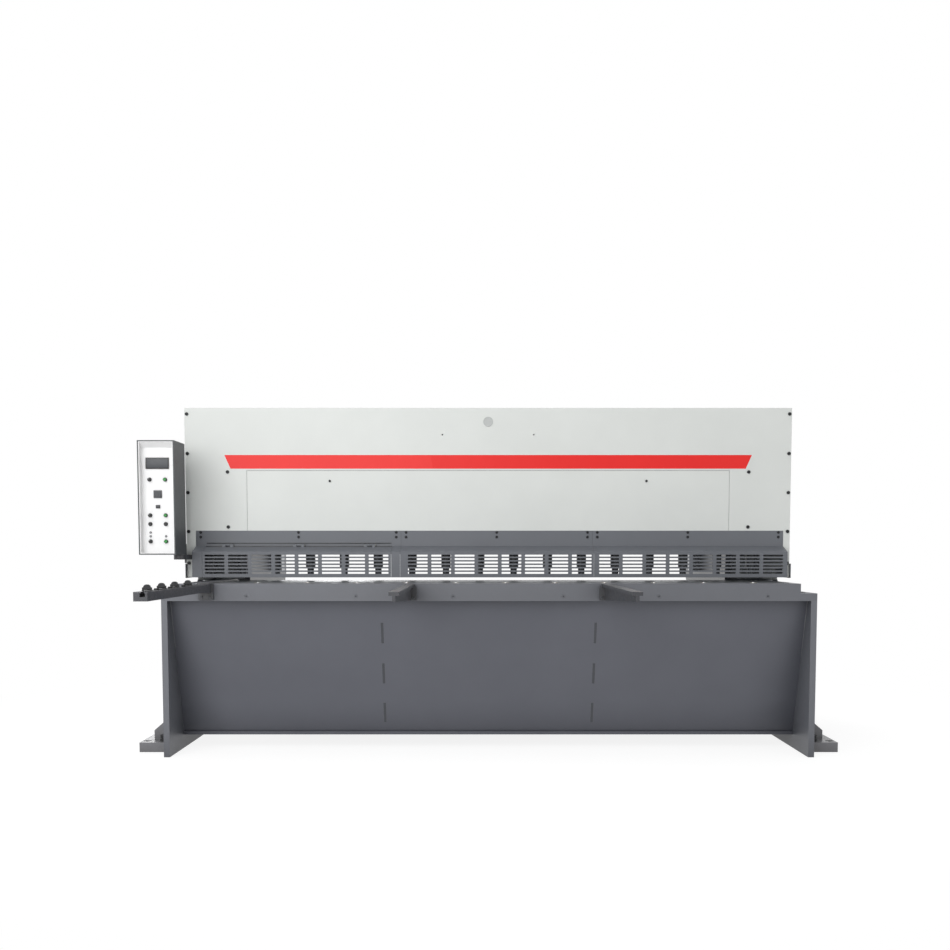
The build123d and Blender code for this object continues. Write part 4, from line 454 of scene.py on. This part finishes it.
def buildBeadTree():
    # A weld along each edge: overlapping flat drops, each a little different.
    tree, given = startGrower("weldBeads", Bead=0.004, Spacing=0.005, Seed=3, Material=None)
    path = addNode(tree, "GeometryNodeMeshToCurve", {"Mesh": given["Geometry"]})
    even = addNode(tree, "GeometryNodeResampleCurve", {
        "Curve": path.outputs[0], "Length": given["Spacing"]}, mode="LENGTH")
    drop = addNode(tree, "GeometryNodeMeshIcoSphere", {"Radius": given["Bead"], "Subdivisions": 1})
    size = addNode(tree, "FunctionNodeRandomValue", {
        "Min": (0.85, 0.85, 0.7), "Max": (1.1, 1.1, 0.95), "Seed": given["Seed"]}, data_type="FLOAT_VECTOR")
    placed = addNode(tree, "GeometryNodeInstanceOnPoints", {
        "Points": even.outputs[0], "Instance": drop.outputs["Mesh"], "Scale": size.outputs["Value"]})
    return finishGrower(tree, placed.outputs[0], given)


screwTree = buildScrewTree()
padTree = buildPadTree()
ballTree = buildBallTree()
threadTree = buildThreadTree()
beadTree = buildBeadTree()
quarter = math.pi / 2
toFront = (quarter, 0.0, 0.0)
toRear = (-quarter, 0.0, 0.0)
toRight = (0.0, quarter, 0.0)
toLeft = (0.0, -quarter, 0.0)
upward = (0.0, 0.0, 0.0)
print("geometry trees built")

# A red film runs across the cover, slanted at both ends, in two tones of red
stripe = {"low": 1.4695, "high": 1.5424, "topHalf": 1.414, "lowHalf": 1.382, "changeTop": -0.310,
          "changeLow": -0.295, "thickness": 0.0004}
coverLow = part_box("front_cover")[0]
stripeFront = coverLow.y - stripe["thickness"]
shape = bmesh.new()
addPrism(shape, [
    (-stripe["lowHalf"], stripe["low"]), (stripe["changeLow"], stripe["low"]),
    (stripe["changeTop"], stripe["high"]), (-stripe["topHalf"], stripe["high"]),
], stripeFront, coverLow.y, 1)
addPrism(shape, [
    (stripe["changeLow"] + 1e-5, stripe["low"]), (stripe["lowHalf"], stripe["low"]),
    (stripe["topHalf"], stripe["high"]), (stripe["changeTop"] + 1e-5, stripe["high"]),
], stripeFront, coverLow.y, 0)
keepShape("coverStripe", shape, [stripeRed, stripeRedLight], "frame")

# Button-head screws of the cover, and the plug in its top middle
coverScrew = {"height": 0.005, "crown": 0.001, "socket": 0.42, "depth": 0.003, "plugWidth": 0.03}
small, large, plugs = [], [], []
for low, high in islands("cover_screws"):
    middle, width = (low + high) / 2, high.x - low.x
    rows = plugs if width > coverScrew["plugWidth"] else large if width > 0.015 else small
    rows.append((middle.x, coverLow.y, middle.z, width / 2))
for name, rows in (("coverScrews", large), ("panelScrews", small)):
    grow(name, screwTree, [row[:3] for row in rows], "frame", "fastener_steel", Radius=rows[0][3],
         Height=coverScrew["height"], Crown=coverScrew["crown"], Socket=coverScrew["socket"],
         Depth=coverScrew["depth"], Facing=toFront, Material=blackSteel,
         replaced=["cover_screws"] if name == "coverScrews" else [])
shape = bmesh.new()
for x, y, z, radius in plugs:
    addTurned(shape, [(0, 0), (26, 0), (26, 1.6), (25, 2.8), (23.6, 3), (22.6, 2.2), (20.5, 2.0), (0, 2.4)],
              (x, y, z), (0, -1, 0), 48)
keepShape("coverPlug", shape, [plugGrey], "frame")
print("cover trimmed")

# Fasteners of the frame, sorted by where they sit
pieces = {"leveller": [], "guard": [], "bar": [], "arm": [], "clamp": [], "blade": [], "pin": []}
for low, high in islands("frame_bolts"):
    middle = (low + high) / 2
    kind = ("leveller" if low.z < 0.05 else "pin" if high.x - low.x > 0.05 else
            "clamp" if high.y < -1.0 else "arm" if low.y < -0.88 else "bar" if low.y < -0.8 else
            "guard" if middle.z > 1.0 else "blade")
    pieces[kind].append((low, high, middle))
fasteners = {
    "guard": {"radius": 0.007, "height": 0.0032, "socket": 0.45, "finish": blackSteel, "facing": toFront},
    "bar": {"radius": 0.009, "height": 0.0118, "socket": 0.55, "finish": frameGrey, "facing": toFront},
    "clamp": {"radius": 0.010, "height": 0.0072, "socket": 0.5, "finish": blackSteel, "facing": upward},
    "blade": {"radius": 0.010, "height": 0.010, "socket": 0.55, "finish": zincSteel, "facing": toRear},
}
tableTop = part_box("table_top")[1].z
for kind, bolt in fasteners.items():
    places = []
    for low, high, middle in pieces[kind]:
        y = {"guard": coverLow.y, "bar": low.y + 0.0125, "clamp": middle.y, "blade": high.y - 0.011}[kind]
        places.append((middle.x, y, low.z if kind == "clamp" else middle.z))
    grow(kind + "Screws", screwTree, places, "frame", "fastener_steel", Radius=bolt["radius"],
         Height=bolt["height"], Crown=0.0008, Rim=0.9, Socket=bolt["socket"], Depth=0.004,
         Facing=bolt["facing"], Material=bolt["finish"],
         replaced=["frame_bolts"] if kind == "guard" else [])
hexHead = {"height": 0.0058, "radius": 0.008, "seat": 0.0064}
places = [(middle.x, low.y + hexHead["seat"], middle.z) for low, high, middle in pieces["arm"]]
grow("armBoltHeads", screwTree, places, "frame", "fastener_steel", Sides=6, Radius=hexHead["radius"],
     Height=hexHead["height"], Crown=0.0006, Rim=0.9, Socket=0.8, Depth=0.0001, Facing=toFront,
     Material=darkSteel)
leveller = {"root": 0.0112, "ridge": 0.0006, "pitch": 0.003, "nut": 0.0175, "nutHeight": 0.0115,
            "footHeight": 0.050, "gap": 0.008, "headHeight": 0.0135}
places = [(middle.x, middle.y, 0.0) for low, high, middle in pieces["leveller"]]
grow("levellerScrews", threadTree, [(x, y, 0.0005) for x, y, z in places], "frame", "fastener_steel",
     Root=leveller["root"], Ridge=leveller["ridge"], Pitch=leveller["pitch"],
     Length=leveller["footHeight"] + leveller["nutHeight"] + leveller["gap"] + 0.001, Material=blackSteel)
grow("levellerNuts", screwTree, [(x, y, leveller["footHeight"]) for x, y, z in places], "frame",
     "fastener_steel", Sides=6, Radius=leveller["nut"], Height=leveller["nutHeight"], Crown=0.0005,
     Rim=0.92, Socket=0.75, Depth=0.0004, Material=blackSteel)
headLow = leveller["footHeight"] + leveller["nutHeight"] + leveller["gap"] + 0.0005
grow("levellerHeads", screwTree, [(x, y, headLow) for x, y, z in places], "frame", "fastener_steel",
     Sides=6, Radius=leveller["nut"], Height=leveller["headHeight"] - 0.001, Crown=0.0008, Rim=0.9,
     Socket=0.8, Depth=0.0002, Material=blackSteel)
shape = bmesh.new()
for low, high, middle in pieces["pin"]:
    length = (high.x - low.x) / mm
    addTurned(shape, [(0, 0), (2.4, 0), (3, 0.6), (3, length - 0.6), (2.4, length), (0, length)],
              (low.x, middle.y, middle.z), (1, 0, 0), 16)
keepShape("hingePins", shape, [zincSteel], "frame")
print("frame fasteners made:", {kind: len(found) for kind, found in pieces.items()})

# A black strip above the top of the flap paints the shade of the gap between the guard rail and the flap
seal = {"low": 0.0031, "height": 0.0036, "front": 0.0035, "inset": 0.004}
flapLow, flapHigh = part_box("guard_flap")
shape = bmesh.new()
addBlock(shape, (flapLow.x + seal["inset"], coverLow.y - seal["front"], flapHigh.z + seal["low"]),
         (flapHigh.x - seal["inset"], coverLow.y, flapHigh.z + seal["low"] + seal["height"]), 0.4)
keepShape("flapSeal", shape, [blackPlastic], "frame")

# Ball transfers: chromed balls in pressed cups with a rolled rim
transfer = {"ballRadius": 0.0125, "widest": 0.03, "steps": 36, "cup": [
    (13.2, -20), (18.8, -20), (18.8, 0), (17.6, 0.9), (15.2, 0.9), (14.0, 0.2), (13.2, -1.4)]}
balls = [(low + high) / 2 for low, high in islands("ball_transfers")
         if high.x - low.x < transfer["widest"]]
shape = bmesh.new()
for ball in balls:
    addTurned(shape, transfer["cup"], (ball.x, ball.y, tableTop), (0, 0, 1), transfer["steps"], ring=True)
keepShape("transferCups", shape, [zincSteel], "frame", replaced=["ball_transfers"])
grow("transferBalls", ballTree, balls, "frame", "fastener_steel", Radius=transfer["ballRadius"],
     Material=chromedRod)

# Squaring arm: a steel tape beside the slot, with short and long marks
tape = {"inset": 0.004, "width": 0.011, "thickness": 0.0004, "pitch": 0.005, "long": 10, "margin": 0.02,
        "edge": 0.001}
armLow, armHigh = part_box("squaring_arm")
tapeX = (armHigh.x - armLow.x) / 2 + armLow.x - 0.0285 + tape["inset"]
tapeFront, tapeRear = armLow.y + tape["margin"], -0.94
shape = bmesh.new()
addBlock(shape, (tapeX, tapeFront, tableTop),
         (tapeX + tape["width"], tapeRear, tableTop + tape["thickness"]), 0.1)
keepShape("armTape", shape, [tapeSilver], "frame")
marks = int((tapeRear - tapeFront) / tape["pitch"])
for name, length, wanted in (("armMarksLong", 0.009, True), ("armMarksShort", 0.005, False)):
    places = [(tapeX + tape["edge"] + length / 2, tapeFront + tape["pitch"] * (i + 0.5),
               tableTop + tape["thickness"])
              for i in range(marks) if (i % tape["long"] == 0) == wanted]
    grow(name, padTree, places, "frame", "stop_steel", Size=(length, 0.0006, 0.00015), Taper=0.95,
         Material=blackSteel)
print("table and arm detailed")

# Operator panel: display, keypad unit, small read-out, bezels of the buttons and pilot lamps
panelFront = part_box("panel_fittings")[1].y
bezelProfile = [(8.3, 0), (10.5, 0), (10.5, 4.6), (9.9, 6.2), (9.1, 7), (8.3, 6.6)]
shape = bmesh.new()
for low, high in islands("panel_fittings"):
    middle, width, height = (low + high) / 2, high.x - low.x, high.z - low.z
    base = (middle.x, panelFront, middle.z)
    if width > 0.1:
        addBlock(shape, low, high, 1.6, 0)
        addBlock(shape, (low.x + 0.005, low.y - 0.0002, low.z + 0.005),
                 (high.x - 0.005, low.y + 0.002, high.z - 0.005), 0.4, 1)
    elif width > 0.03:
        addBlock(shape, low, high, 1.4, 2)
    elif width > 0.0205 and height < 0.02:
        addBlock(shape, low, high, 1.2, 0)
        addBlock(shape, (low.x + 0.003, low.y - 0.001, low.z + 0.003),
                 (high.x - 0.003, low.y + 0.002, high.z - 0.003), 0.8, 2)
    elif width > 0.015:
        addTurned(shape, bezelProfile, base, (0, -1, 0), 36, 0, ring=True)
    else:
        addTurned(shape, [(0, 0), (6, 0), (6, 1.8), (5.2, 2.2)], base, (0, -1, 0), 24, 0)
        addTurned(shape, [(5.2, 2.0), (5.0, 3.6), (3.4, 4.6), (0, 5)], base, (0, -1, 0), 24, 3)
keepShape("panelDevices", shape, [blackPlastic, screenGlass, keyPlastic, lampPlastic], "control",
          replaced=["panel_fittings"])
keypad = {"columns": 3, "rows": 3, "size": (0.0095, 0.0085, 0.0012), "margin": 0.0045,
          "sink": 0.0003}
unit = [box for box in islands("panel_fittings") if 0.03 < box[1].x - box[0].x < 0.1][0]
low, high = unit
step = [(high[i] - low[i] - 2 * keypad["margin"]) / keypad["columns"] for i in (0, 2)]
places = [(low.x + keypad["margin"] + step[0] * (i + 0.5), low.y + keypad["sink"],
           low.z + keypad["margin"] + step[1] * (j + 0.5))
          for i in range(keypad["columns"]) for j in range(keypad["rows"])]
grow("keypadKeys", padTree, places, "control", "panel_trim", Size=keypad["size"], Taper=0.82, Facing=toFront,
     Material=keyPlastic)

# Push buttons with a dished face, and knobs with a fluted skirt and a grip
buttonProfile = [(0, -15.8), (4.9, -15.8), (4.9, 4), (8, 4), (8, 12.4), (7.4, 13.6), (6.4, 13.9), (5.4, 13.3),
                 (3, 12.9), (0, 12.8)]
knobProfile = [(0, -15.8), (4.9, -15.8), (4.9, 3), (8, 3.2), (8, 15.6), (7.5, 17.2), (6.6, 18), (0, 18)]
grip = {"half": 0.0026, "depth": 0.0048, "inset": 0.001}
greens = ("start_button", "gauge_button", "cut_button")
for name in ("start_button", "gauge_button", "gauge_back_button", "gauge_front_button", "cut_button",
             "speed_knob", "mode_selector", "stroke_selector"):
    low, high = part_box(name)
    x, z = (low.x + high.x) / 2, (low.z + high.z) / 2
    shape = bmesh.new()
    if "button" in name:
        addTurned(shape, buttonProfile, (x, panelFront, z), (0, -1, 0), 32)
    else:
        addTurned(shape, knobProfile, (x, panelFront, z), (0, -1, 0), 48, flutes=12, depth=0.5)
        front = panelFront - 0.018
        addBlock(shape, (x - grip["half"], front - grip["depth"], low.z + grip["inset"]),
                 (x + grip["half"], front + 0.001, high.z - grip["inset"]), 1.0)
        addBlock(shape, (x - 0.0005, front - grip["depth"] - 0.0001, z + 0.001),
                 (x + 0.0005, front - grip["depth"] + 0.0006, high.z - 0.0015), 0.1, 1)
    green = name in greens
    parts = name.split("_")
    keepShape(parts[0] + "".join(part.title() for part in parts[1:]) + "Cap", shape,
              [greenPlastic if green else blackPlastic, panelWhite], name,
              replaced=[name])
boxLow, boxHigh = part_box("control_box")
boxScrew = {"inset": 0.014, "radius": 0.0045, "height": 0.0022}
places = [(x, boxHigh.y, z) for x in (boxLow.x + boxScrew["inset"], boxHigh.x - boxScrew["inset"])
          for z in (boxLow.z + boxScrew["inset"], (boxLow.z + boxHigh.z) / 2, boxHigh.z - boxScrew["inset"])]
shape = bmesh.new()
addBlock(shape, (boxLow.x + 0.006, boxHigh.y, boxLow.z + 0.006),
         (boxHigh.x - 0.006, boxHigh.y + 0.0015, boxHigh.z - 0.006), 0.5)
keepShape("boxRearCover", shape, [boxGrey], "control")
grow("boxRearScrews", screwTree, [(x, y + 0.0015, z) for x, y, z in places], "control", "fastener_steel",
     Radius=boxScrew["radius"], Height=boxScrew["height"], Crown=0.0006, Depth=0.0012, Facing=toRear,
     Material=zincSteel)
print("operator panel made")

# Ball screws of the back gauge: ground root, rolled ridge
ballScrew = {"root": 0.0113, "ridge": 0.0012, "pitch": 0.010}
for name, body in (("gauge_screw_left", "gauge_screw_left"), ("gauge_screw_right", "gauge_screw_right")):
    low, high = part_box(name)
    x, z = (low.x + high.x) / 2, (low.z + high.z) / 2
    grow("thread" + name.split("_")[-1].title(), threadTree, [(x, low.y, z)], body, "machined_steel",
         Root=ballScrew["root"], Ridge=ballScrew["ridge"], Pitch=ballScrew["pitch"], Length=high.y - low.y,
         Facing=toRear, Material=milledSteel, smoothAngle=60, replaced=[name])

# Main cylinders: a honed barrel between a screwed gland and a welded cap, with bolted rings
cylinder = {"barrel": 66, "ring": 74.5, "gland": 60, "cap": 55, "boltCircle": 62, "bolts": 10,
            "boltSink": 0.002}
cylinderBoxes = islands("main_cylinders")
shape = bmesh.new()
glandPlaces = []
for low, high in cylinderBoxes:
    length, middle = (high.z - low.z) / mm, (low + high) / 2
    gland, top = cylinder["gland"] * 0.6, length - cylinder["cap"] * 0.7
    addTurned(shape, [
        (40.5, 0), (66, 0), (cylinder["ring"], 3), (cylinder["ring"], gland), (cylinder["barrel"], gland + 4),
        (cylinder["barrel"], top - 4), (cylinder["ring"], top), (cylinder["ring"], length), (40.5, length),
    ], (middle.x, middle.y, low.z), (0, 0, 1), 64, ring=True)
    for i in range(cylinder["bolts"]):
        angle = math.tau * i / cylinder["bolts"]
        out = cylinder["boltCircle"] * mm
        glandPlaces.append((middle.x + out * math.cos(angle), middle.y + out * math.sin(angle),
                            low.z + cylinder["boltSink"]))
keepShape("cylinderBarrels", shape, [cylinderBlack], "frame", replaced=["main_cylinders"])
grow("glandBolts", screwTree, glandPlaces, "frame", "fastener_steel", Radius=0.006, Height=0.007,
     Crown=0.0006, Depth=0.003, Facing=(math.pi, 0.0, 0.0), Material=blackSteel)

# Pipe unions: a hexagon nut and a ring where each pipe meets a port
nuts = {"radius": 0.0165, "height": 0.016, "fromEnd": 0.040}
valveLow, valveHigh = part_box("valve_block")
placesBack, placesLeft, placesRight = [], [], []
for low, high in cylinderBoxes:
    middle = (low + high) / 2
    for z in (low.z + nuts["fromEnd"], high.z - nuts["fromEnd"]):
        placesBack.append((middle.x, high.y, z))
for z, y in ((valveLow.z + 0.050, 0.135), (valveLow.z + 0.085, 0.205)):
    placesLeft.append((valveLow.x, y, z))
    placesRight.append((valveHigh.x, y, z))
for name, places, facing in (("cylinderUnions", placesBack, toRear), ("valveUnionsLeft", placesLeft, toLeft),
                             ("valveUnionsRight", placesRight, toRight)):
    grow(name, screwTree, places, "frame", "pipe_steel", Sides=6, Radius=nuts["radius"],
         Height=nuts["height"], Crown=0.001, Rim=0.9, Socket=0.7, Depth=0.0005, Facing=facing,
         Material=zincSteel)
print("hydraulics detailed")

# Oil tank: lid screws, a sight glass between two holders and a fluted filler cap
tankLow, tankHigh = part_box("oil_tank")
lidTop = valveLow.z
lid = {"inset": 0.024, "columns": 9, "radius": 0.0065, "height": 0.0045}
span = tankHigh.x - tankLow.x - 2 * lid["inset"]
xs = [tankLow.x + lid["inset"] + i * span / (lid["columns"] - 1) for i in range(lid["columns"])]
ys = [tankLow.y + lid["inset"], tankHigh.y - lid["inset"]]
places = [(x, y, lidTop) for x in xs for y in ys]
places += [(x, (ys[0] + ys[1]) / 2, lidTop) for x in (xs[0], xs[-1])]
grow("lidScrews", screwTree, places, "frame", "fastener_steel", Sides=6, Radius=lid["radius"],
     Height=lid["height"], Crown=0.0005, Rim=0.9, Socket=0.8, Depth=0.0002, Material=zincSteel)
sight = {"left": 0.180, "right": 0.150, "low": 0.080, "high": 0.220, "lidEdge": 0.012, "holder": 0.012,
         "side": 0.004, "sink": 0.002, "depth": 0.0115}
sightRight = tankHigh.x - sight["lidEdge"]
shape = bmesh.new()
x0, x1 = sightRight - sight["left"], sightRight - sight["right"]
z0, z1 = tankLow.z + sight["low"], tankLow.z + sight["high"]
rear = tankHigh.y - sight["lidEdge"]
for z in (z0, z1):
    addBlock(shape, (x0 - sight["side"], rear - sight["sink"], z - sight["holder"]),
             (x1 + sight["side"], rear + sight["depth"], z + sight["holder"]), 2.5, 0)
addTurned(shape, [(0, 0), (6, 0), (6, (z1 - z0) / mm - 20), (0, (z1 - z0) / mm - 20)],
          ((x0 + x1) / 2, rear + 0.0146, z0 + 0.010), (0, 0, 1), 24, 1)
keepShape("sightGauge", shape, [blackPlastic, oilGlass], "frame")
filler = {"fromLeft": 0.162, "fromRear": 0.102, "flutes": 24, "fluteDepth": 1.6, "steps": 72}
shape = bmesh.new()
base = (tankLow.x + filler["fromLeft"], tankHigh.y - filler["fromRear"], lidTop)
addTurned(shape, [(0, 48), (44.4, 49), (44.4, 71), (41, 73.4), (20, 73.6), (0, 73.4)], base, (0, 0, 1),
          filler["steps"], 0, flutes=filler["flutes"], depth=filler["fluteDepth"])
keepShape("fillerCap", shape, [blackPlastic], "frame")

# Motors: cooling holes in the fan cowl, terminal box screws and foot bolts
motorLow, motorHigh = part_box("pump_motor")
motor = {"z": motorLow.z + 0.130, "y": (motorLow.y + motorHigh.y) / 2, "rings": (0.03, 0.05, 0.07, 0.09),
         "holePitch": 0.014, "boxFrom": 0.150, "boxHalf": (0.050, 0.040), "footXs": (0.06, 0.24),
         "footHalf": 0.104, "footTop": 0.029}
smallScrew = {"Radius": 0.0042, "Height": 0.003, "Crown": 0.0005, "Depth": 0.0015}
places = []
for ring in motor["rings"]:
    count = int(math.tau * ring / motor["holePitch"])
    for i in range(count):
        angle = math.tau * i / count
        places.append((motorLow.x, motor["y"] + ring * math.cos(angle), motor["z"] + ring * math.sin(angle)))
grow("cowlHoles", screwTree, places, "frame", "motor_paint", Sides=8, Radius=0.0045, Height=0.0006,
     Crown=0.0002, Rim=0.9, Socket=0.8, Depth=0.0007, Facing=toLeft, Material=blackPlastic)
middle = motorLow.x + motor["boxFrom"]
halfX, halfY = motor["boxHalf"]
places = [(middle + dx, motor["y"] + dy, motorHigh.z) for dx in (-halfX, halfX) for dy in (-halfY, halfY)]
grow("terminalScrews", screwTree, places, "frame", "fastener_steel", **smallScrew, Material=zincSteel)
places = [(motorLow.x + dx, motor["y"] + dy, motorLow.z + motor["footTop"])
          for dx in motor["footXs"] for dy in (-motor["footHalf"], motor["footHalf"])]
grow("motorFootBolts", screwTree, places, "frame", "fastener_steel", Sides=6, Radius=0.0095, Height=0.008,
     Crown=0.0008, Rim=0.9, Socket=0.8, Depth=0.0002, Material=zincSteel)
gaugeLow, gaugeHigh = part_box("gauge_motor")
edge = 0.012
places = [(x, y, gaugeHigh.z) for x in (gaugeLow.x + edge, gaugeHigh.x - edge)
          for y in (gaugeLow.y + edge, gaugeHigh.y - edge)]
grow("gaugeMotorScrews", screwTree, places, "ram", "fastener_steel", **smallScrew, Material=zincSteel)
print("tank and motors detailed")

# Electrical cabinet: louvres in the door, two hinges and a lock plate
cabinetLow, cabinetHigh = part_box("electrical_cabinet")
cabinet = {"doorRear": cabinetHigh.y - 0.012, "right": cabinetHigh.x - 0.030}
louvre = {"size": (0.09, 0.008, 0.005), "columns": 2, "rows": 6, "fromRight": 0.13, "columnPitch": 0.12,
          "fromLow": 0.06, "rowPitch": 0.016, "upper": 0.21}
places = [(cabinet["right"] - louvre["fromRight"] - louvre["columnPitch"] * column, cabinet["doorRear"],
           cabinetLow.z + louvre["fromLow"] + louvre["rowPitch"] * row)
          for column in range(louvre["columns"]) for row in range(louvre["rows"])]
places += [(x, y, z + louvre["upper"]) for x, y, z in places]
grow("cabinetLouvres", padTree, places, "frame", "cabinet_paint", Size=louvre["size"], Taper=0.72,
     Facing=toRear, Material=cabinetGrey)
shape = bmesh.new()
hinge = {"fromLow": 0.07, "fromHigh": 0.12, "fromRight": 0.009, "out": 0.003, "profile": [
    (0, 0), (5.4, 0), (6, 0.6), (6, 24.4), (5.4, 25), (4, 25),
    (4, 26), (5.4, 26), (6, 26.6), (6, 49.4), (5.4, 50), (0, 50)]}
lock = {"fromLeft": 0.050, "halfWidth": 0.011, "halfHeight": 0.045, "near": 0.003, "far": 0.0118}
for z in (cabinetLow.z + hinge["fromLow"], cabinetHigh.z - hinge["fromHigh"]):
    addTurned(shape, hinge["profile"],
              (cabinet["right"] - hinge["fromRight"], cabinet["doorRear"] + hinge["out"], z), (0, 0, 1), 20)
lockX, lockZ = cabinetLow.x + lock["fromLeft"], (cabinetLow.z + cabinetHigh.z) / 2
addBlock(shape,
         (lockX - lock["halfWidth"], cabinet["doorRear"] + lock["near"], lockZ - lock["halfHeight"]),
         (lockX + lock["halfWidth"], cabinet["doorRear"] + lock["far"], lockZ + lock["halfHeight"]), 3.0, 1)
keepShape("cabinetFittings", shape, [zincSteel, blackPlastic], "frame")

# Welds along the feet, the apron and the rear beam and posts
weld = {"footRun": 0.240, "footZ": 0.050, "apron": ((-0.820, 0.784), (-0.60, 0.10)), "beam": (1.246, 1.284),
        "beamY": 0.105, "postYs": (0.106, 0.164), "post": (0.642, 1.244),
        "chute": ((-0.218, 0.640), (0.615, 0.155))}
footLow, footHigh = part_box("floor_feet")
frameLow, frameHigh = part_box("side_frame_right")
places, edges = [], []


def addRun(first, last):
    places.extend([first, last])
    edges.append((len(places) - 2, len(places) - 1))


for side in (-1, 1):
    outer = side * frameHigh.x
    inner = side * frameLow.x
    for near, far in ((footLow.y, footLow.y + weld["footRun"]), (footHigh.y - weld["footRun"], footHigh.y)):
        addRun((outer, near, weld["footZ"]), (outer, far, weld["footZ"]))
    addRun(*[(inner, y, z) for y, z in weld["apron"]])
    addRun(*[(inner, weld["beamY"], z) for z in weld["beam"]])
    for y in weld["postYs"]:
        addRun(*[(inner, y, z) for z in weld["post"]])
grow("frameWelds", beadTree, places, "frame", "frame_paint", edges=edges, Bead=0.0045, Spacing=0.0055, Seed=4,
     Material=beadGrey, smoothAngle=60)
places, edges = [], []
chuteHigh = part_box("sheet_chute")[1]
for side in (-1, 1):
    x = side * (chuteHigh.x - 0.003)
    addRun(*[(x, y, z) for y, z in weld["chute"]])
grow("chuteWelds", beadTree, places, "frame", "apron_paint", edges=edges, Bead=0.003, Spacing=0.004, Seed=7,
     Material=beadGrey, smoothAngle=60)
print("cabinet and welds made")

stageSizes = {"floorHalf": 60.0, "floorDrop": 0.0005, "litRadius": 2.2, "whiteRadius": 3.6}


def seenDirectly(tree):  # 1 for the camera, for gloss and through clear parts
    rays = addNode(tree, "ShaderNodeLightPath").outputs
    either = addNode(tree, "ShaderNodeMath", {0: rays["Is Camera Ray"], 1: rays["Is Glossy Ray"]},
                     operation="MAXIMUM")
    return addNode(tree, "ShaderNodeMath", {0: either.outputs[0], 1: rays["Is Transmission Ray"]},
                   operation="MAXIMUM").outputs[0]


# Pale floor: it keeps the object's shadow near the object and turns plain white further out
shape = bmesh.new()
half, drop = stageSizes["floorHalf"], stageSizes["floorDrop"]
shape.faces.new([shape.verts.new(p) for p in (
    (-half, -half, -drop), (half, -half, -drop), (half, half, -drop), (-half, half, -drop))])
data = bpy.data.meshes.new("floor")
shape.to_mesh(data)
shape.free()
floor = bpy.data.objects.new("floor", data)
bpy.context.scene.collection.objects.link(floor)
floorPaint = bpy.data.materials.new("paleFloor")
floorPaint.use_nodes = True
tree = floorPaint.node_tree
tree.nodes.clear()
matt = addNode(tree, "ShaderNodeBsdfDiffuse", {"Color": toLinear("EDEDED")})
glow = addNode(tree, "ShaderNodeEmission", {"Color": (1, 1, 1, 1), "Strength": 0.86})
white = addNode(tree, "ShaderNodeEmission", {"Color": (1, 1, 1, 1), "Strength": 1.0})
veil = addNode(tree, "ShaderNodeBsdfDiffuse", {"Color": toLinear("868686")})
lift = addNode(tree, "ShaderNodeAddShader", {0: veil.outputs[0], 1: glow.outputs[0]})
distance = addNode(tree, "ShaderNodeVectorMath", {
    0: addNode(tree, "ShaderNodeTexCoord").outputs["Object"]}, operation="LENGTH")
away = addNode(tree, "ShaderNodeMapRange", {
    "Value": distance.outputs["Value"], "From Min": stageSizes["litRadius"],
    "From Max": stageSizes["whiteRadius"]}, interpolation_type="SMOOTHSTEP")
shown = addNode(tree, "ShaderNodeMixShader", {0: away.outputs[0], 1: lift.outputs[0], 2: white.outputs[0]})
mixed = addNode(tree, "ShaderNodeMixShader", {0: seenDirectly(tree), 1: matt.outputs[0], 2: shown.outputs[0]})
addNode(tree, "ShaderNodeOutputMaterial", {"Surface": mixed.outputs[0]})
data.materials.append(floorPaint)

world = bpy.data.worlds.new("studio")
bpy.context.scene.world = world
world.use_nodes = True
tree = world.node_tree
tree.nodes.clear()
ambient = addNode(tree, "ShaderNodeBackground", {"Color": (1, 1, 1, 1), "Strength": 0.34})
backdrop = addNode(tree, "ShaderNodeBackground", {"Color": (1, 1, 1, 1), "Strength": 1.0})
mixed = addNode(tree, "ShaderNodeMixShader", {
    0: seenDirectly(tree), 1: ambient.outputs[0], 2: backdrop.outputs[0]})
addNode(tree, "ShaderNodeOutputWorld", {"Surface": mixed.outputs[0]})

lamps = {
    "keyFrontLeft": {"place": (-2.7, -5.8, 3.4), "aim": (0, 0, 1.2), "size": 5.5, "watts": 250},
    "fillFrontRight": {"place": (5.5, -7.0, 2.6), "aim": (0, 0, 0.8), "size": 4.0, "watts": 55},
    "topSoft": {"place": (0, 0.6, 6.0), "aim": (0, 0, 0.5), "size": 5.0, "watts": 110},
    "rearSoft": {"place": (-3.0, 7.0, 4.2), "aim": (0, 0.5, 0.9), "size": 4.0, "watts": 220},
}
for name, lamp in lamps.items():
    light = bpy.data.lights.new(name, "AREA")
    light.shape = "SQUARE"
    light.size = lamp["size"]
    light.energy = lamp["watts"]
    holder = bpy.data.objects.new(name, light)
    bpy.context.scene.collection.objects.link(holder)
    place = Vector(lamp["place"])
    holder.matrix_world = Matrix.Translation(place) @ (
        (Vector(lamp["aim"]) - place).to_track_quat("-Z", "Y").to_matrix().to_4x4())

view = {"place": (-0.065, -6.168, 1.035), "pitchDown": 3.75, "focal": 1070, "frame": 950,
        "axisX": 476, "axisY": 620}
lens = bpy.data.cameras.new("camera")
lens.sensor_width = 36
lens.lens = view["focal"] / view["frame"] * 36
lens.shift_x = -(view["axisX"] - view["frame"] / 2) / view["frame"]
lens.shift_y = (view["axisY"] - view["frame"] / 2) / view["frame"]
lens.clip_end = 500
camera = bpy.data.objects.new("camera", lens)
bpy.context.scene.collection.objects.link(camera)
camera.location = view["place"]
camera.rotation_euler = (math.radians(90 - view["pitchDown"]), 0, 0)
bpy.context.scene.camera = camera
bpy.context.scene.view_settings.view_transform = "Standard"
print("stage, camera and lamps set")
